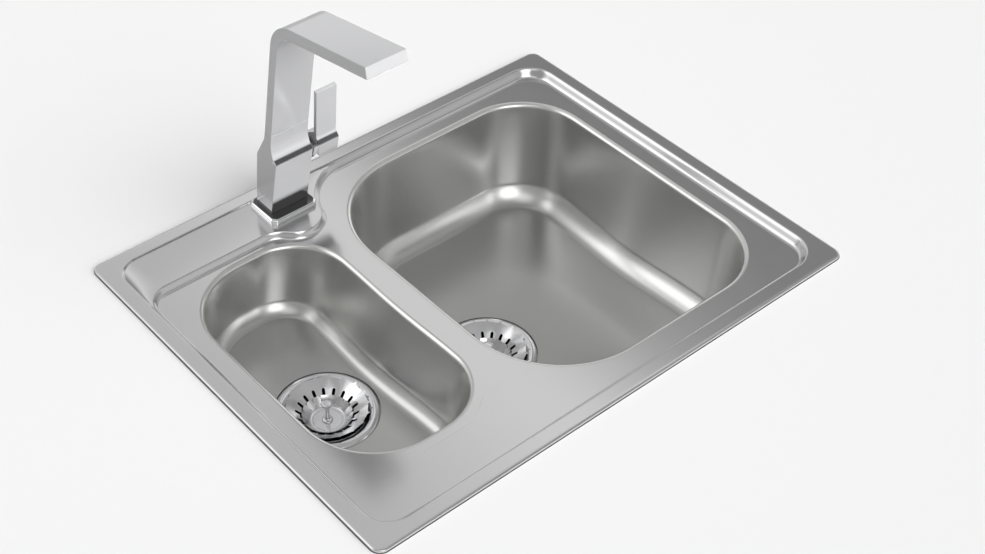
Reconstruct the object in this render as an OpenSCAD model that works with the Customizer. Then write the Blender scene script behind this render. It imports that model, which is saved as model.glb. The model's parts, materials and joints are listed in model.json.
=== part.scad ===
// One and a half bowl kitchen sink with a lever tap. Millimetres.
// Origin: middle of the sink on the worktop's surface. X right, Y back, Z up.

/* [Deck] */
// Length of the sink, left to right
sink_w = 650; // [646:1:700]
// Depth of the sink, front to back
sink_d = 500; // [494:1:540]
// Corner radius of the outline
outline_r = 12; // [8:1:20]
// Thickness of the steel sheet
sheet_t = 0.9; // [0.6:0.1:1.2]
// Height of the rim above the worktop
rim_h = 4; // [3.5:0.1:6]
// Width of the flat rim
rim_w = 17; // [15:1:20]
// Height of the tap ledge above the worktop
ledge_h = 2; // [1:0.1:2.5]
// Depth of the lower deck below the worktop
deck_drop = 6; // [4:0.5:9]
// Width of the step from the rim to the tap ledge
step_run = 2.6; // [2:0.1:4]
// Width of the slope from the rim to the lower deck
slope_run = 8; // [7:0.5:9]
// Corner radius of the rim's inner edge
recess_r = 36; // [28:1:44]
// Depth of the tap ledge, front to back
ledge_d = 53; // [50:1:58]

/* [Tap ledge outline] */
// Radius of the lower deck's corner beside the ledge
ledge_corner_r = 31; // [26:1:36]
// Radius of the curve that runs from the ledge's straight into its lobe
ledge_turn_r = 42; // [38:1:46]
// Radius of the lobe round the tap
lobe_r = 27; // [25:1:29]
// Distance of the lobe's centre from the rim's inner edge
lobe_back = 49; // [47:1:51]
// Radius of the curve that runs from the lobe to the back of the rim
sweep_r = 72; // [66:1:78]

/* [Bowls] */
// Land between the main bowl and the outline's right edge
main_margin = 45; // [43:1:48]
// Length of the main bowl's opening
main_w = 349; // [335:1:352]
// Land between the main bowl and the outline's front edge
main_front = 48; // [46:1:58]
// Land between the main bowl and the outline's back edge
main_back = 42; // [41:1:52]
// Corner radius of the main bowl's opening, away from the divider
main_r = 86; // [70:1:90]
// Corner radius of the main bowl's opening, beside the divider
main_left_r = 120; // [81:1:124]
// Depth of the main bowl below the lower deck
main_depth = 142; // [120:1:180]
// Draft of the main bowl's walls
main_draft = 4; // [2:0.5:6]
// Radius between the main bowl's walls and its floor
main_fillet = 26; // [18:1:32]
// Inward bow of the main bowl's right wall at its foot
main_bow = 6; // [0:1:9]
// Flat divider between the bowls
divider_w = 27; // [24:1:36]
// Land between the half bowl and the outline's left edge
half_margin = 43.5; // [42:0.5:44]
// Land between the half bowl and the outline's front edge
half_front = 85; // [80:1:110]
// Land between the half bowl and the tap ledge
half_back = 12; // [10:1:20]
// Corner radius of the half bowl's opening, beside the divider
half_r = 72; // [54:1:74]
// Corner radius of the half bowl's opening, away from the divider
half_left_r = 88; // [64:1:90]
// Depth of the half bowl below the lower deck
half_depth = 86.5; // [75:0.5:110]
// Draft of the half bowl's front and back walls
half_draft = 3; // [2:0.5:6]
// Draft of the half bowl's left wall
half_left_draft = 1; // [0.5:0.5:1]
// Draft of the half bowl's wall beside the divider
divider_draft = 18; // [10:1:20]
// Radius between the half bowl's walls and its floor
half_fillet = 16.5; // [12:0.5:20]
// Width of the fillet at the foot of the half bowl's left wall
half_left_fillet = 14; // [12:0.5:14]
// Inward bow of the half bowl's right wall at its foot
half_bow = 4; // [0:1:5]
// Radius of the rolled edge round each bowl
roll_r = 6; // [4:0.5:7]
// Fall of the main bowl's floor towards its waste
main_fall = 3; // [1:0.5:4]
// Fall of the half bowl's floor towards its waste
half_fall = 0.8; // [0.4:0.1:2]
// Distance of the main waste from the sink's middle, left to right
main_waste_x = 29; // [29:1:60]
// Distance of the half bowl's waste from the sink's middle, left to right
half_waste_x = -202; // [-202.5:0.5:-200]
// Distance of both wastes from the sink's middle, front to back
waste_y = -6; // [-20:1:20]
// Thickness of the sound deadening pads
pad_t = 2; // [1:0.5:3]

/* [Wastes] */
// Radius of the waste flange
flange_r = 57; // [55:0.5:58]
// Height of the flange's crown above the bowl's floor
flange_crown = 2.6; // [2:0.1:3.5]
// Depth of the seat pressed into the bowl's floor
seat_depth = 1.9; // [1.5:0.1:2.5]
// Radius of the hole in the bowl's floor
drain_r = 45; // [44.5:0.1:46]
// Thickness of the gasket under the flange
top_gasket_t = 0.8; // [0.5:0.1:1]
// Inner radius of the strainer cup
cup_r = 42; // [41:0.2:43]
// Depth of the strainer cup below the bowl's floor
cup_depth = 22; // [21:0.5:28]
// Thickness of the cup's sheet
cup_t = 1; // [0.8:0.1:1.2]
// Thickness of the gasket under the bowl
lower_gasket_t = 3; // [2:0.5:4]
// Outer radius of the plastic waste body
body_r = 50; // [48:0.5:52]
// Wall of the plastic waste body
body_wall = 3; // [2:0.5:4]
// Height of the waste body's cup
body_cup_h = 24; // [23:1:34]
// Radius over the outlet's thread
outlet_r = 23.9; // [22:0.1:25]
// Length of the outlet's thread
outlet_len = 25; // [18:1:32]
// Radius of the outlet's bore
outlet_bore_r = 19; // [16:0.5:20]
// Radius of the waste screw's shank
waste_screw_r = 3; // [2.5:0.1:3.5]

/* [Baskets] */
// Radius of the basket's rim
basket_r = 39; // [38:0.2:39.4]
// Outer radius of the slotted cone
cone_r = 36; // [34:0.5:37]
// Radius of the dish in the basket's middle
dish_r = 18.5; // [17:0.5:20]
// Depth of the dish below the basket's rim
basket_depth = 14.5; // [12:0.5:15]
// Number of slots in the cone
slot_count = 18; // [12:1:20]
// Width of a slot
slot_w = 3.6; // [2.5:0.1:4]
// Height of the knob above the dish
knob_h = 26; // [20:0.5:30]
// Radius of the knob's round top
knob_r = 6; // [5:0.5:8]
// Radius of the knob's post
knob_post_r = 2.5; // [2:0.1:3.5]

/* [Tap] */
// Distance of the tap hole from the sink's middle, left to right
tap_x = -100; // [-102:1:-98]
// Distance of the tap hole from the outline's back edge
tap_back = 44; // [43:1:46]
// Radius of the tap hole
tap_hole_r = 17.5; // [17:0.1:18]
// Width of the body and of the spout
tap_w = 50; // [46:1:52]
// Width of the base plate
base_w = 62; // [60:1:64]
// Depth of the base plate, front to back
base_d = 50; // [48:1:50]
// Thickness of the base plate
base_h = 7; // [6:0.5:9]
// Depth of the body at its foot, front to back
foot_d = 28; // [27:0.5:32]
// Depth of the body at its shoulder, front to back
shoulder_d = 35; // [34:0.5:38]
// Height of the shoulder above the base plate
shoulder_h = 78; // [74:1:84]
// Thickness of the spout's column
column_t = 11.6; // [11:0.2:14]
// Lean of the column towards the bowls
column_lean = 10; // [8:0.5:12]
// Height of the seam above the base plate, where the spout turns
seam_h = 116; // [114:1:124]
// Length of the column from the seam to the bend's start
column_l = 122; // [90:1:150]
// Radius of the bend's middle line
bend_r = 38; // [30:1:45]
// Rise of the arm towards its tip
arm_rise = 10; // [6:0.5:14]
// Length of the arm from the bend's end to its tip
arm_l = 124; // [100:1:150]
// Distance of the aerator from the arm's tip
aerator_back = 14; // [12:0.5:20]
// Radius of the aerator
aerator_r = 11; // [9:0.5:12]
// Radius of the spout's spigot
spigot_r = 3.8; // [3.4:0.1:4]
// Length of the spigot below the seam
spigot_l = 26; // [20:1:28]

/* [Lever] */
// Gap between the body and the lever's plate
lever_gap = 8.5; // [8:0.5:12]
// Width of the lever
lever_w = 27; // [24:1:32]
// Thickness of the lever's plate
lever_t = 4.5; // [4:0.5:6]
// Height of the lever's plate above its crease
lever_h = 69; // [50:1:80]
// Largest lift of the lever, away from the body
lever_lift = 20; // [12:1:22]
// Gap between the body and the lever's skirt
skirt_gap = 2; // [2:0.5:3]
// Radius of the cartridge
cartridge_r = 12.5; // [12:0.1:12.8]
// Length of the cartridge inside the body
cartridge_l = 32; // [28:1:34]
// Length of the collar that stands out of the body
collar_l = 7; // [5:0.5:7.5]
// Radius of the cartridge's rotor
rotor_r = 8.5; // [7.5:0.1:8.6]
// Thickness of the lever's stem, front to back
stem_t = 6; // [5:0.2:7]
// Height of the lever's stem
stem_h = 7; // [6:0.2:8]

/* [Fixing] */
// Length of the stud under the tap
stud_l = 70; // [60:1:90]
// Radius of the stud
stud_r = 3; // [2.5:0.5:3]
// Radius of the inlet sockets
inlet_r = 5; // [4:0.5:5]
// Depth of the inlet sockets
inlet_depth = 12; // [10:1:14]
// Width of the foam seal
seal_w = 5.5; // [4:0.5:7]
// Distance of the clips' brackets inside the outline
clip_in = 33; // [32:0.5:34]
// Thickness of the worktop that the clips grip
worktop_t = 38; // [28:1:44]
// Width of a clip's bracket
bracket_w = 18; // [14:1:24]
// Radius of a clip's screw
clip_screw_r = 2.5; // [2:0.25:3]

/* [Hidden] */
$fn = 64;

// Clearances: between moving pieces, in a running fit, and in a fixed joint
gap = 0.3;
running = 0.05;
fixed = 0.05;
// Overlap of a cutter beyond the face that it cuts
over = 1;

steel = [0.74, 0.75, 0.76];
polished = [0.82, 0.83, 0.85];
chrome = [0.86, 0.87, 0.89];
rubber = [0.13, 0.13, 0.14];
plastic = [0.88, 0.88, 0.86];
zinc = [0.62, 0.64, 0.66];
brass = [0.75, 0.62, 0.35];

rim_z = rim_h;
ledge_z = ledge_h;
low_z = -deck_drop;

// Half sizes of the outline and of the rim's inner edge
half_w_out = sink_w / 2;
half_d_out = sink_d / 2;
tap_y = half_d_out - tap_back;
recess_x = half_w_out - rim_w;
recess_y = half_d_out - rim_w;

// The ledge's front line and the centres of the arcs of its outline
ledge_y = recess_y - ledge_d;
corner_c = [-recess_x + ledge_corner_r, ledge_y - ledge_corner_r];
lobe_c = [tap_x, recess_y - lobe_back];
turn_dy = lobe_c.y - (ledge_y - ledge_turn_r);
turn_c = [lobe_c.x - sqrt((ledge_turn_r + lobe_r) ^ 2 - turn_dy ^ 2), ledge_y - ledge_turn_r];
sweep_dy = lobe_c.y - (recess_y - sweep_r);
sweep_c = [lobe_c.x + sqrt((sweep_r + lobe_r) ^ 2 - sweep_dy ^ 2), recess_y - sweep_r];
turn_a = atan2(lobe_c.y - turn_c.y, lobe_c.x - turn_c.x);
sweep_a = atan2(lobe_c.y - sweep_c.y, lobe_c.x - sweep_c.x);
// Radius of the rim's inner corner behind the half bowl
back_corner_r = 28;
// Width over which the ledge fades in where the two outlines part
ledge_blend = 7;

// Steps along each arc of the deck's rings
corner_steps = 6;
sweep_steps = 8;
lobe_steps = 10;
turn_steps = 5;
ledge_corner_steps = 10;
// Steps round each bowl's corner
bowl_steps = 8;

function arc(c, r, a0, a1, n) = [for (i = [0:n]) let(a = a0 + (a1 - a0) * i / n) c + r * [cos(a), sin(a)]];
function ease(u) = let(v = min(1, max(0, u))) v * v * (3 - 2 * v);
function ease_slope(u, run) = (u <= 0 || u >= 1) ? 0 : 6 * u * (1 - u) / run;
function mix(a, b, w) = a * (1 - w) + b * w;
function trim_ends(p) = [for (i = [1:len(p) - 2]) p[i]];

// Two triangles between neighbouring rings, split along the shorter diagonal
function split_quad(p, a, b, c, d) =
    norm(p[a] - p[c]) < norm(p[b] - p[d]) ? [[a, b, c], [a, c, d]] : [[a, b, d], [b, c, d]];
function strip(p, n, i, i1) = [for (j = [0:n - 1]) let(j1 = (j + 1) % n)
    each split_quad(p, i * n + j, i * n + j1, i1 * n + j1, i1 * n + j)];

// Grid of rings that closes on itself both ways, as a solid with a hole through it
module ring_solid(rings) {
    m = len(rings);
    n = len(rings[0]);
    points = [for (ring = rings) each ring];
    polyhedron(points, [for (i = [0:m - 1]) each strip(points, n, i, (i + 1) % m)]);
}

// Grid of rings with both ends closed towards a middle point
module capped_solid(rings, first_mid, last_mid) {
    m = len(rings);
    n = len(rings[0]);
    points = concat([for (ring = rings) each ring], [first_mid, last_mid]);
    sides = [for (i = [0:m - 2]) each strip(points, n, i, i + 1)];
    first = [for (j = [0:n - 1]) [m * n, (j + 1) % n, j]];
    last = [for (j = [0:n - 1]) [m * n + 1, (m - 1) * n + j, (m - 1) * n + (j + 1) % n]];
    polyhedron(points, concat(sides, first, last));
}

// The deck is pressed from one sheet. Its rings follow three outlines that share their
// point order: the outer edge, the rim's inner edge, and the lower deck with its S-curve.

// Lower deck's outline, drawn in by s
function low_ring(s) = let(r = recess_r - s, cx = recess_x - recess_r, cy = recess_y - recess_r)
    concat(
        arc([cx, -cy], r, -90, 0, corner_steps),
        arc([cx, cy], r, 0, 90, corner_steps),
        arc(sweep_c, sweep_r - s, 90, sweep_a, sweep_steps),
        trim_ends(arc(lobe_c, lobe_r + s, sweep_a - 180, turn_a - 180, lobe_steps)),
        arc(turn_c, ledge_turn_r - s, turn_a, 90, turn_steps),
        arc(corner_c, ledge_corner_r - s, 90, 180, ledge_corner_steps),
        arc([-cx, -cy], r, 180, 270, corner_steps));

// Points of the ledge's corner that face the rim's own corner, then its left side
corner_half = ledge_corner_steps / 2;
function left_side(x, y0) = [for (i = [1:corner_half]) [x, mix(y0, corner_c.y, i / corner_half)]];

// Back and left stretch of an outer ring, beside the lower deck's S-curve
back_first = 2 * (corner_steps + 1);
back_last = back_first + sweep_steps + lobe_steps + turn_steps;
back_x = [for (i = [back_first:back_last]) low_ring(0)[i].x];
function back_points(y) = [for (x = back_x) [x, y]];

// Rim's inner edge, drawn in by s
function rim_ring(s) = let(r = recess_r - s, cx = recess_x - recess_r, cy = recess_y - recess_r,
        bx = recess_x - back_corner_r, by = recess_y - back_corner_r)
    concat(
        arc([cx, -cy], r, -90, 0, corner_steps),
        arc([cx, cy], r, 0, 90, corner_steps),
        back_points(recess_y - s),
        arc([-bx, by], back_corner_r - s, 90, 180, corner_half),
        left_side(-recess_x + s, by),
        arc([-cx, -cy], r, 180, 270, corner_steps));

// Outer edge, drawn in by s
function outer_ring(s) = let(r = outline_r - s, cx = half_w_out - outline_r, cy = half_d_out - outline_r)
    concat(
        arc([cx, -cy], r, -90, 0, corner_steps),
        arc([cx, cy], r, 0, 90, corner_steps),
        back_points(half_d_out - s),
        arc([-cx, cy], r, 90, 180, corner_half),
        left_side(-half_w_out + s, recess_y - back_corner_r),
        arc([-cx, -cy], r, 180, 270, corner_steps));

// How far each point lies on the ledge: 0 beside the plain slope, 1 on the ledge
low_line = low_ring(0);
rim_line = rim_ring(0);
ledge_part = [for (i = [0:len(low_line) - 1]) min(1, norm(low_line[i] - rim_line[i]) / ledge_blend)];

// Height and steepness of the pressing at s inside the rim's inner edge
function plain_z(s) = mix(rim_z, low_z, ease(s / slope_run));
function plain_a(s) = atan((rim_z - low_z) * ease_slope(s / slope_run, slope_run));
function step_z(s) = mix(rim_z, ledge_z, ease(s / step_run));
function step_a(s) = atan((rim_z - ledge_z) * ease_slope(s / step_run, step_run));
drop_run = slope_run - step_run;
function drop_z(s) = mix(ledge_z, low_z, ease((s - step_run) / drop_run));
function drop_a(s) = atan((ledge_z - low_z) * ease_slope((s - step_run) / drop_run, drop_run));

// Outer edge's profile: distance inwards, height and steepness
edge_run = 3.6;
edge_foot = 0.3;
edge_profile = [
    for (a = [90:-30:0]) [edge_run * (1 - sin(a)) ^ 1.5, mix(edge_foot + 1, rim_z, cos(a)), a]
];

// A ring of the sheet's surface, k below its top face
function edge_level(p, k) = [for (q = outer_ring(p[0] + k * sin(p[2]))) [q.x, q.y, p[1] - k * cos(p[2])]];
function foot_level(k) = [for (q = outer_ring(k)) [q.x, q.y, edge_foot]];
function rim_level(s, k) = let(
        plain = rim_ring(s - k * sin(plain_a(s))),
        ledge = rim_ring(s - k * sin(step_a(s))))
    [for (i = [0:len(plain) - 1]) let(w = ledge_part[i], q = mix(plain[i], ledge[i], w))
        [q.x, q.y, mix(plain_z(s) - k * cos(plain_a(s)), step_z(s) - k * cos(step_a(s)), w)]];
function low_level(s, k) = let(
        plain = low_ring(s - k * sin(plain_a(s))),
        ledge = low_ring(s - k * sin(drop_a(s))))
    [for (i = [0:len(plain) - 1]) let(w = ledge_part[i], q = mix(plain[i], ledge[i], w))
        [q.x, q.y, mix(plain_z(s) - k * cos(plain_a(s)), drop_z(s) - k * cos(drop_a(s)), w)]];

// The two outlines part just inside the step
part_gap = 0.4;
rim_stations = [for (u = [0:0.25:1]) step_run * u];
low_stations = [for (u = [0:0.2:1]) mix(step_run + part_gap, slope_run, u)];
function surface_rings(k) = concat(
    [foot_level(k)],
    [for (p = edge_profile) edge_level(p, k)],
    [for (s = rim_stations) rim_level(s, k)],
    [for (s = low_stations) low_level(s, k)]);
function reversed(list) = [for (i = [len(list) - 1:-1:0]) list[i]];

// Point of the lower deck from which all of its outline can be seen
deck_mid = [tap_x + 40, -50];

module deck_sheet() {
    capped_solid(
        concat(reversed(surface_rings(0)), surface_rings(sheet_t)),
        [deck_mid.x, deck_mid.y, low_z],
        [deck_mid.x, deck_mid.y, low_z - sheet_t]);
}

module deck_panel() color(steel) difference() {
    deck_sheet();
    for (bowl = [MAIN, HALF])
        translate([0, 0, low_z - sheet_t - over])
            linear_extrude(sheet_t + 2 * over)
                polygon(bowl_outline(bowl, [0, 0, 0, 0]));
    translate([tap_x, tap_y, ledge_z - sheet_t - over])
        cylinder(r = tap_hole_r, h = sheet_t + 2 * over);
}

// Bowls. Each is [sides, corner radii on the left and on the right, depth, drafts, fillet's
// height, waste, bow of the right wall, fillet's widths, fall, steps]. Values for the sides go
// left, right, front, back, and the steps along the straight sides go right, back, left, front.
main_right = half_w_out - main_margin;
main_left = main_right - main_w;
half_right = main_left - divider_w;
half_left = -half_w_out + half_margin;
MAIN = [
    [main_left, main_right, main_front - half_d_out, half_d_out - main_back], [main_left_r, main_r], main_depth,
    [main_draft, main_draft, main_draft, main_draft], main_fillet, [main_waste_x, waste_y], main_bow,
    [main_fillet, main_fillet, main_fillet, main_fillet], main_fall, [7, 7, 12, 7]];
HALF = [
    [half_left, half_right, half_front - half_d_out, ledge_y - half_back], [half_left_r, half_r], half_depth,
    [half_left_draft, divider_draft, half_draft, half_draft], half_fillet, [half_waste_x, waste_y], half_bow,
    [half_left_fillet, half_fillet, half_fillet, half_fillet], half_fall, [12, 5, 12, 5]];

function bowl_floor(b) = low_z - b[2];
function bowl_waste(b) = b[5];
function bowl_seat(b) = bowl_floor(b) - b[8];

// Sides and corner radii of a bowl's outline, each side drawn in by its own amount
function bowl_frame(b, inset) = let(s = b[0], r = b[1]) [
    s[0] + inset[0], s[1] - inset[1], s[2] + inset[2], s[3] - inset[3],
    r[1] - (inset[1] + inset[2]) / 2, r[1] - (inset[1] + inset[3]) / 2,
    r[0] - (inset[0] + inset[3]) / 2, r[0] - (inset[0] + inset[2]) / 2];

// Ends of its straight sides
function bowl_sides(f) = [
    [[f[1], f[2] + f[4]], [f[1], f[3] - f[5]]],
    [[f[1] - f[5], f[3]], [f[0] + f[6], f[3]]],
    [[f[0], f[3] - f[6]], [f[0], f[2] + f[7]]],
    [[f[0] + f[7], f[2]], [f[1] - f[4], f[2]]]];

// Parts of the floor's sides that look equally long from the waste, so that its seat is round
function side_parts(b) = let(c = bowl_waste(b), sides = bowl_sides(bowl_frame(b, floor_inset(b))))
    [for (k = [0:3]) let(
            p = sides[k][0], q = sides[k][1], along = (q - p) / norm(q - p),
            from = (p - c) * along, to = (q - c) * along, near = sqrt(norm(p - c) ^ 2 - from ^ 2))
        [for (i = [1:b[9][k] - 1])
            (near * tan(mix(atan(from / near), atan(to / near), i / b[9][k])) - from) / (to - from)]];

// Points between the ends of a side, drawn in towards its middle
function side_points(side, parts, bow) =
    [for (u = parts) mix(side[0], side[1], u) + bow * (1 - cos(360 * u)) / 2];

// A bowl's outline, with the right side bowed inwards
function bowl_outline(b, inset, bow = 0) = let(
        f = bowl_frame(b, inset), sides = bowl_sides(f), parts = side_parts(b))
    concat(
        arc([f[1] - f[4], f[2] + f[4]], f[4], -90, 0, bowl_steps),
        side_points(sides[0], parts[0], [-bow, 0]),
        arc([f[1] - f[5], f[3] - f[5]], f[5], 0, 90, bowl_steps),
        side_points(sides[1], parts[1], [0, 0]),
        arc([f[0] + f[6], f[3] - f[6]], f[6], 90, 180, bowl_steps),
        side_points(sides[2], parts[2], [0, 0]),
        arc([f[0] + f[7], f[2] + f[7]], f[7], 180, 270, bowl_steps),
        side_points(sides[3], parts[3], [0, 0]));

function bowl_level(b, inset, z, bow = 0) = [for (q = bowl_outline(b, inset, bow)) [q.x, q.y, z]];

// Rolled edge: part u of the way from the deck to the wall, k below the top face
function roll_level(b, u, k) = let(
        turn = [for (d = b[3]) u * (90 - d)],
        steep = u * (90 - min(b[3])))
    bowl_level(b, [for (a = turn) (roll_r - k) * sin(a)], low_z - roll_r + (roll_r - k) * cos(steep));

// Foot of the wall, where the fillet starts
function wall_depth(b) = b[2] - roll_r - b[4];
function wall_inset(b, i) = roll_r + wall_depth(b) * tan(b[3][i]);
function floor_inset(b) = [for (i = [0:3]) wall_inset(b, i) + b[7][i]];
function floor_outline(b) = bowl_outline(b, floor_inset(b), b[6]);

// Land round the seat, between the sloping floor and the seat's wall
seat_land = 4;
// Gap between the flange's edge and the seat's wall, and the wall's draft
seat_room = 0.8;
seat_taper = 0.3;
seat_r = flange_r + seat_room;
// Smallest widths left for the floor and for the land where a wall stands close to the waste
least_floor = 0.2;
least_land = 0.1;
// The floor's edge sinks towards the seat within this distance of it
fall_run = 60;
function seat_gap(b, q) = norm(q - bowl_waste(b)) - seat_r;
function edge_fall(b, q) = b[8] * (1 - ease(seat_gap(b, q) / fall_run));

// Fillet: part u of the way from the wall to the floor, k below the top face
function fillet_level(b, u, k) = let(
        r = b[4],
        foot = floor_outline(b),
        ring = bowl_outline(b,
            [for (i = [0:3]) wall_inset(b, i) + b[7][i] - (b[7][i] + k) * cos(u * 90)], b[6]))
    [for (i = [0:len(ring) - 1]) [ring[i].x, ring[i].y,
        bowl_floor(b) + r - (r + k) * sin(u * 90) - edge_fall(b, foot[i]) * u ^ 2]];

// Ring round the waste at radius r, kept inside the floor's outline by `room`
function drain_level(b, r, z, room) = let(c = bowl_waste(b))
    [for (q = floor_outline(b)) let(d = q - c, l = norm(d), t = min(r, l - room) / l)
        [c.x + t * d.x, c.y + t * d.y, z]];

function floor_rings(b, k) = [
    fillet_level(b, 1, k),
    drain_level(b, seat_r + seat_land, bowl_seat(b) - k, least_floor)];
function bowl_rings(b, k) = concat(
    [for (u = [0:0.25:1]) roll_level(b, u, k)],
    [for (u = [0:0.25:0.75]) fillet_level(b, u, k)],
    floor_rings(b, k),
    [drain_level(b, seat_r + k / 2, bowl_seat(b) - k, least_floor + least_land),
     drain_level(b, seat_r - seat_taper + k / 2, bowl_seat(b) - seat_depth - k, least_floor + least_land),
     drain_level(b, drain_r - 2, bowl_seat(b) - seat_depth - k, 0)]);

module bowl(b) color(steel) difference() {
    ring_solid(concat(reversed(bowl_rings(b, 0)), bowl_rings(b, sheet_t)));
    translate([bowl_waste(b).x, bowl_waste(b).y, bowl_seat(b) - seat_depth - sheet_t - over])
        cylinder(r = drain_r, h = sheet_t + seat_depth + 2 * over);
}
module main_bowl() bowl(MAIN);
module half_bowl() bowl(HALF);

// Pad glued under a bowl's floor
module damping_pad(b) color(rubber)
    ring_solid(concat(reversed(floor_rings(b, sheet_t)), floor_rings(b, sheet_t + pad_t)));
module main_damping_pad() damping_pad(MAIN);
module half_damping_pad() damping_pad(HALF);

// Foam strip under the rim
module rounded_rect(x, y, r) {
    square([2 * x - 2 * r, 2 * y], center = true);
    square([2 * x, 2 * y - 2 * r], center = true);
    for (sx = [-1, 1]) for (sy = [-1, 1]) translate([sx * (x - r), sy * (y - r)]) circle(r);
}
seal_inset = 4.5;
module rim_seal() color(rubber) linear_extrude(rim_z - sheet_t) difference() {
    rounded_rect(half_w_out - seal_inset, half_d_out - seal_inset, outline_r - seal_inset);
    rounded_rect(half_w_out - seal_inset - seal_w, half_d_out - seal_inset - seal_w, outline_r / 2);
}

// Clips: [place of the bracket, direction outwards, underside of the sheet above it].
// The end ones lie clip_end inside the outline's corners.
// A bracket is spot-welded under the sheet, an arm hooks into its slot, and a screw
// in the arm's outer end presses up against the worktop.
under_low = low_z - sheet_t;
under_ledge = ledge_z - sheet_t;
clip_x = half_w_out - clip_in;
clip_y = half_d_out - clip_in;
clip_end = 105;
clip_end_x = half_w_out - clip_end;
clip_end_y = half_d_out - clip_end;
CLIPS = [
    for (y = [-clip_end_y, 0, clip_end_y]) [[clip_x, y], 0, under_low],
    for (u = [0.3, 0.8]) [[mix(main_left, main_right, u), clip_y], 90, under_low],
    for (y = [-clip_end_y, 0]) [[-clip_x, y], 180, under_low],
    for (x = [-clip_end_x, 0, clip_end_x]) [[x, -clip_y], 270, under_low],
    [[-clip_end_x, clip_y], 90, under_ledge],
];
bracket_t = 1.5;
bracket_flange = 8;
bracket_below = 12;
arm_t = 2;
arm_reach = clip_in - 2;
arm_screw_at = clip_in - 7;
arm_hook = 6;
slot_room = 0.3;
screw_up = 8;
screw_down = 14;
arm_z = -worktop_t - screw_up - arm_t;

module at_clip(c) translate([c[0].x, c[0].y, 0]) rotate([0, 0, c[1]]) children();

module clip_bracket(top) {
    translate([-bracket_t, -bracket_w / 2, top - bracket_t])
        cube([bracket_flange, bracket_w, bracket_t]);
    difference() {
        translate([-bracket_t, -bracket_w / 2, arm_z - bracket_below])
            cube([bracket_t, bracket_w, top - arm_z + bracket_below]);
        translate([-bracket_t - over, -bracket_w / 2 + bracket_t, arm_z - slot_room])
            cube([bracket_t + 2 * over, bracket_w - 2 * bracket_t, arm_t + 2 * slot_room]);
    }
}
module clip_brackets() color(zinc) for (c = CLIPS) at_clip(c) clip_bracket(c[2]);

arm_w = bracket_w - 2 * bracket_t - 2 * slot_room;
module clip_arm() difference() {
    union() {
        translate([-bracket_t - slot_room - arm_t, -arm_w / 2, arm_z])
            cube([arm_reach + bracket_t + slot_room + arm_t, arm_w, arm_t]);
        translate([-bracket_t - slot_room - arm_t, -arm_w / 2, arm_z])
            cube([arm_t, arm_w, arm_hook]);
    }
    translate([arm_screw_at, 0, arm_z - over])
        cylinder(r = clip_screw_r + fixed, h = arm_t + 2 * over);
}
module clip_arms() color(zinc) for (c = CLIPS) at_clip(c) clip_arm();

screw_l = screw_up + arm_t + screw_down;
screw_head_t = 1.5;
clip_head_r = 1.7 * clip_screw_r;
module clip_screw() translate([arm_screw_at, 0, -worktop_t - screw_l]) {
    cylinder(r = clip_screw_r, h = screw_l);
    cylinder(r = clip_head_r, h = screw_head_t);
    translate([0, 0, screw_l - screw_head_t]) cylinder(r = clip_head_r, h = screw_head_t);
}
module clip_screws() color(zinc) for (c = CLIPS) at_clip(c) clip_screw();

// Wastes. Each is drawn about its own axis with the bowl's floor at height 0.
module at_waste(b) translate([bowl_waste(b).x, bowl_waste(b).y, bowl_seat(b)]) children();

flange_under = -seat_depth + top_gasket_t;
flange_inner = cup_r + 0.4;
flange_edge = 0.7;
crown_steps = 8;
cup_foot_r = cup_r - 8;
cup_wall_h = cup_depth - 6;
// Half a turn of the flange's crown, from its outer edge to the cup's mouth
crown = [for (i = [0:crown_steps]) let(u = i / crown_steps)
    [mix(flange_r, flange_inner, u), flange_under + flange_edge
        + (flange_crown - flange_under - flange_edge) * sin(180 * u ^ 0.85) + 0.6 * u]];
hub_r = 5;
drain_hole_r = 3.6;
drain_hole_at = 13.5;

module waste_flange() color(polished) difference() {
    rotate_extrude() polygon(concat(
        [[flange_r, flange_under]],
        crown,
        [[cup_r, -2], [cup_r - 2, -cup_wall_h], [cup_foot_r, -cup_depth], [0, -cup_depth],
         [0, -cup_depth - cup_t], [cup_foot_r + cup_t * 0.4, -cup_depth - cup_t],
         [cup_r - 2 + cup_t, -cup_wall_h - cup_t * 0.4], [cup_r + cup_t, -3],
         [drain_r - 0.5, flange_under]]));
    for (i = [0:5]) rotate([0, 0, 60 * i]) translate([drain_hole_at, 0, -cup_depth - cup_t - over])
        cylinder(r = drain_hole_r, h = cup_t + 2 * over);
    translate([0, 0, -cup_depth - cup_t - over])
        cylinder(r = waste_screw_r + gap, h = cup_t + 2 * over);
}
module main_waste_flange() at_waste(MAIN) waste_flange();
module half_waste_flange() at_waste(HALF) waste_flange();

module washer(r0, r1, z, t) translate([0, 0, z]) difference() {
    cylinder(r = r1, h = t);
    translate([0, 0, -over]) cylinder(r = r0, h = t + 2 * over);
}

module top_gasket() color(rubber) washer(drain_r + 0.3, flange_r - 1, -seat_depth, top_gasket_t);
module main_top_gasket() at_waste(MAIN) top_gasket();
module half_top_gasket() at_waste(HALF) top_gasket();

bowl_under = -seat_depth - sheet_t;
body_flange_r = body_r + 4;
module lower_gasket() color(rubber)
    washer(drain_r + 0.3, body_flange_r, bowl_under - lower_gasket_t, lower_gasket_t);
module main_lower_gasket() at_waste(MAIN) lower_gasket();
module half_lower_gasket() at_waste(HALF) lower_gasket();

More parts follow.
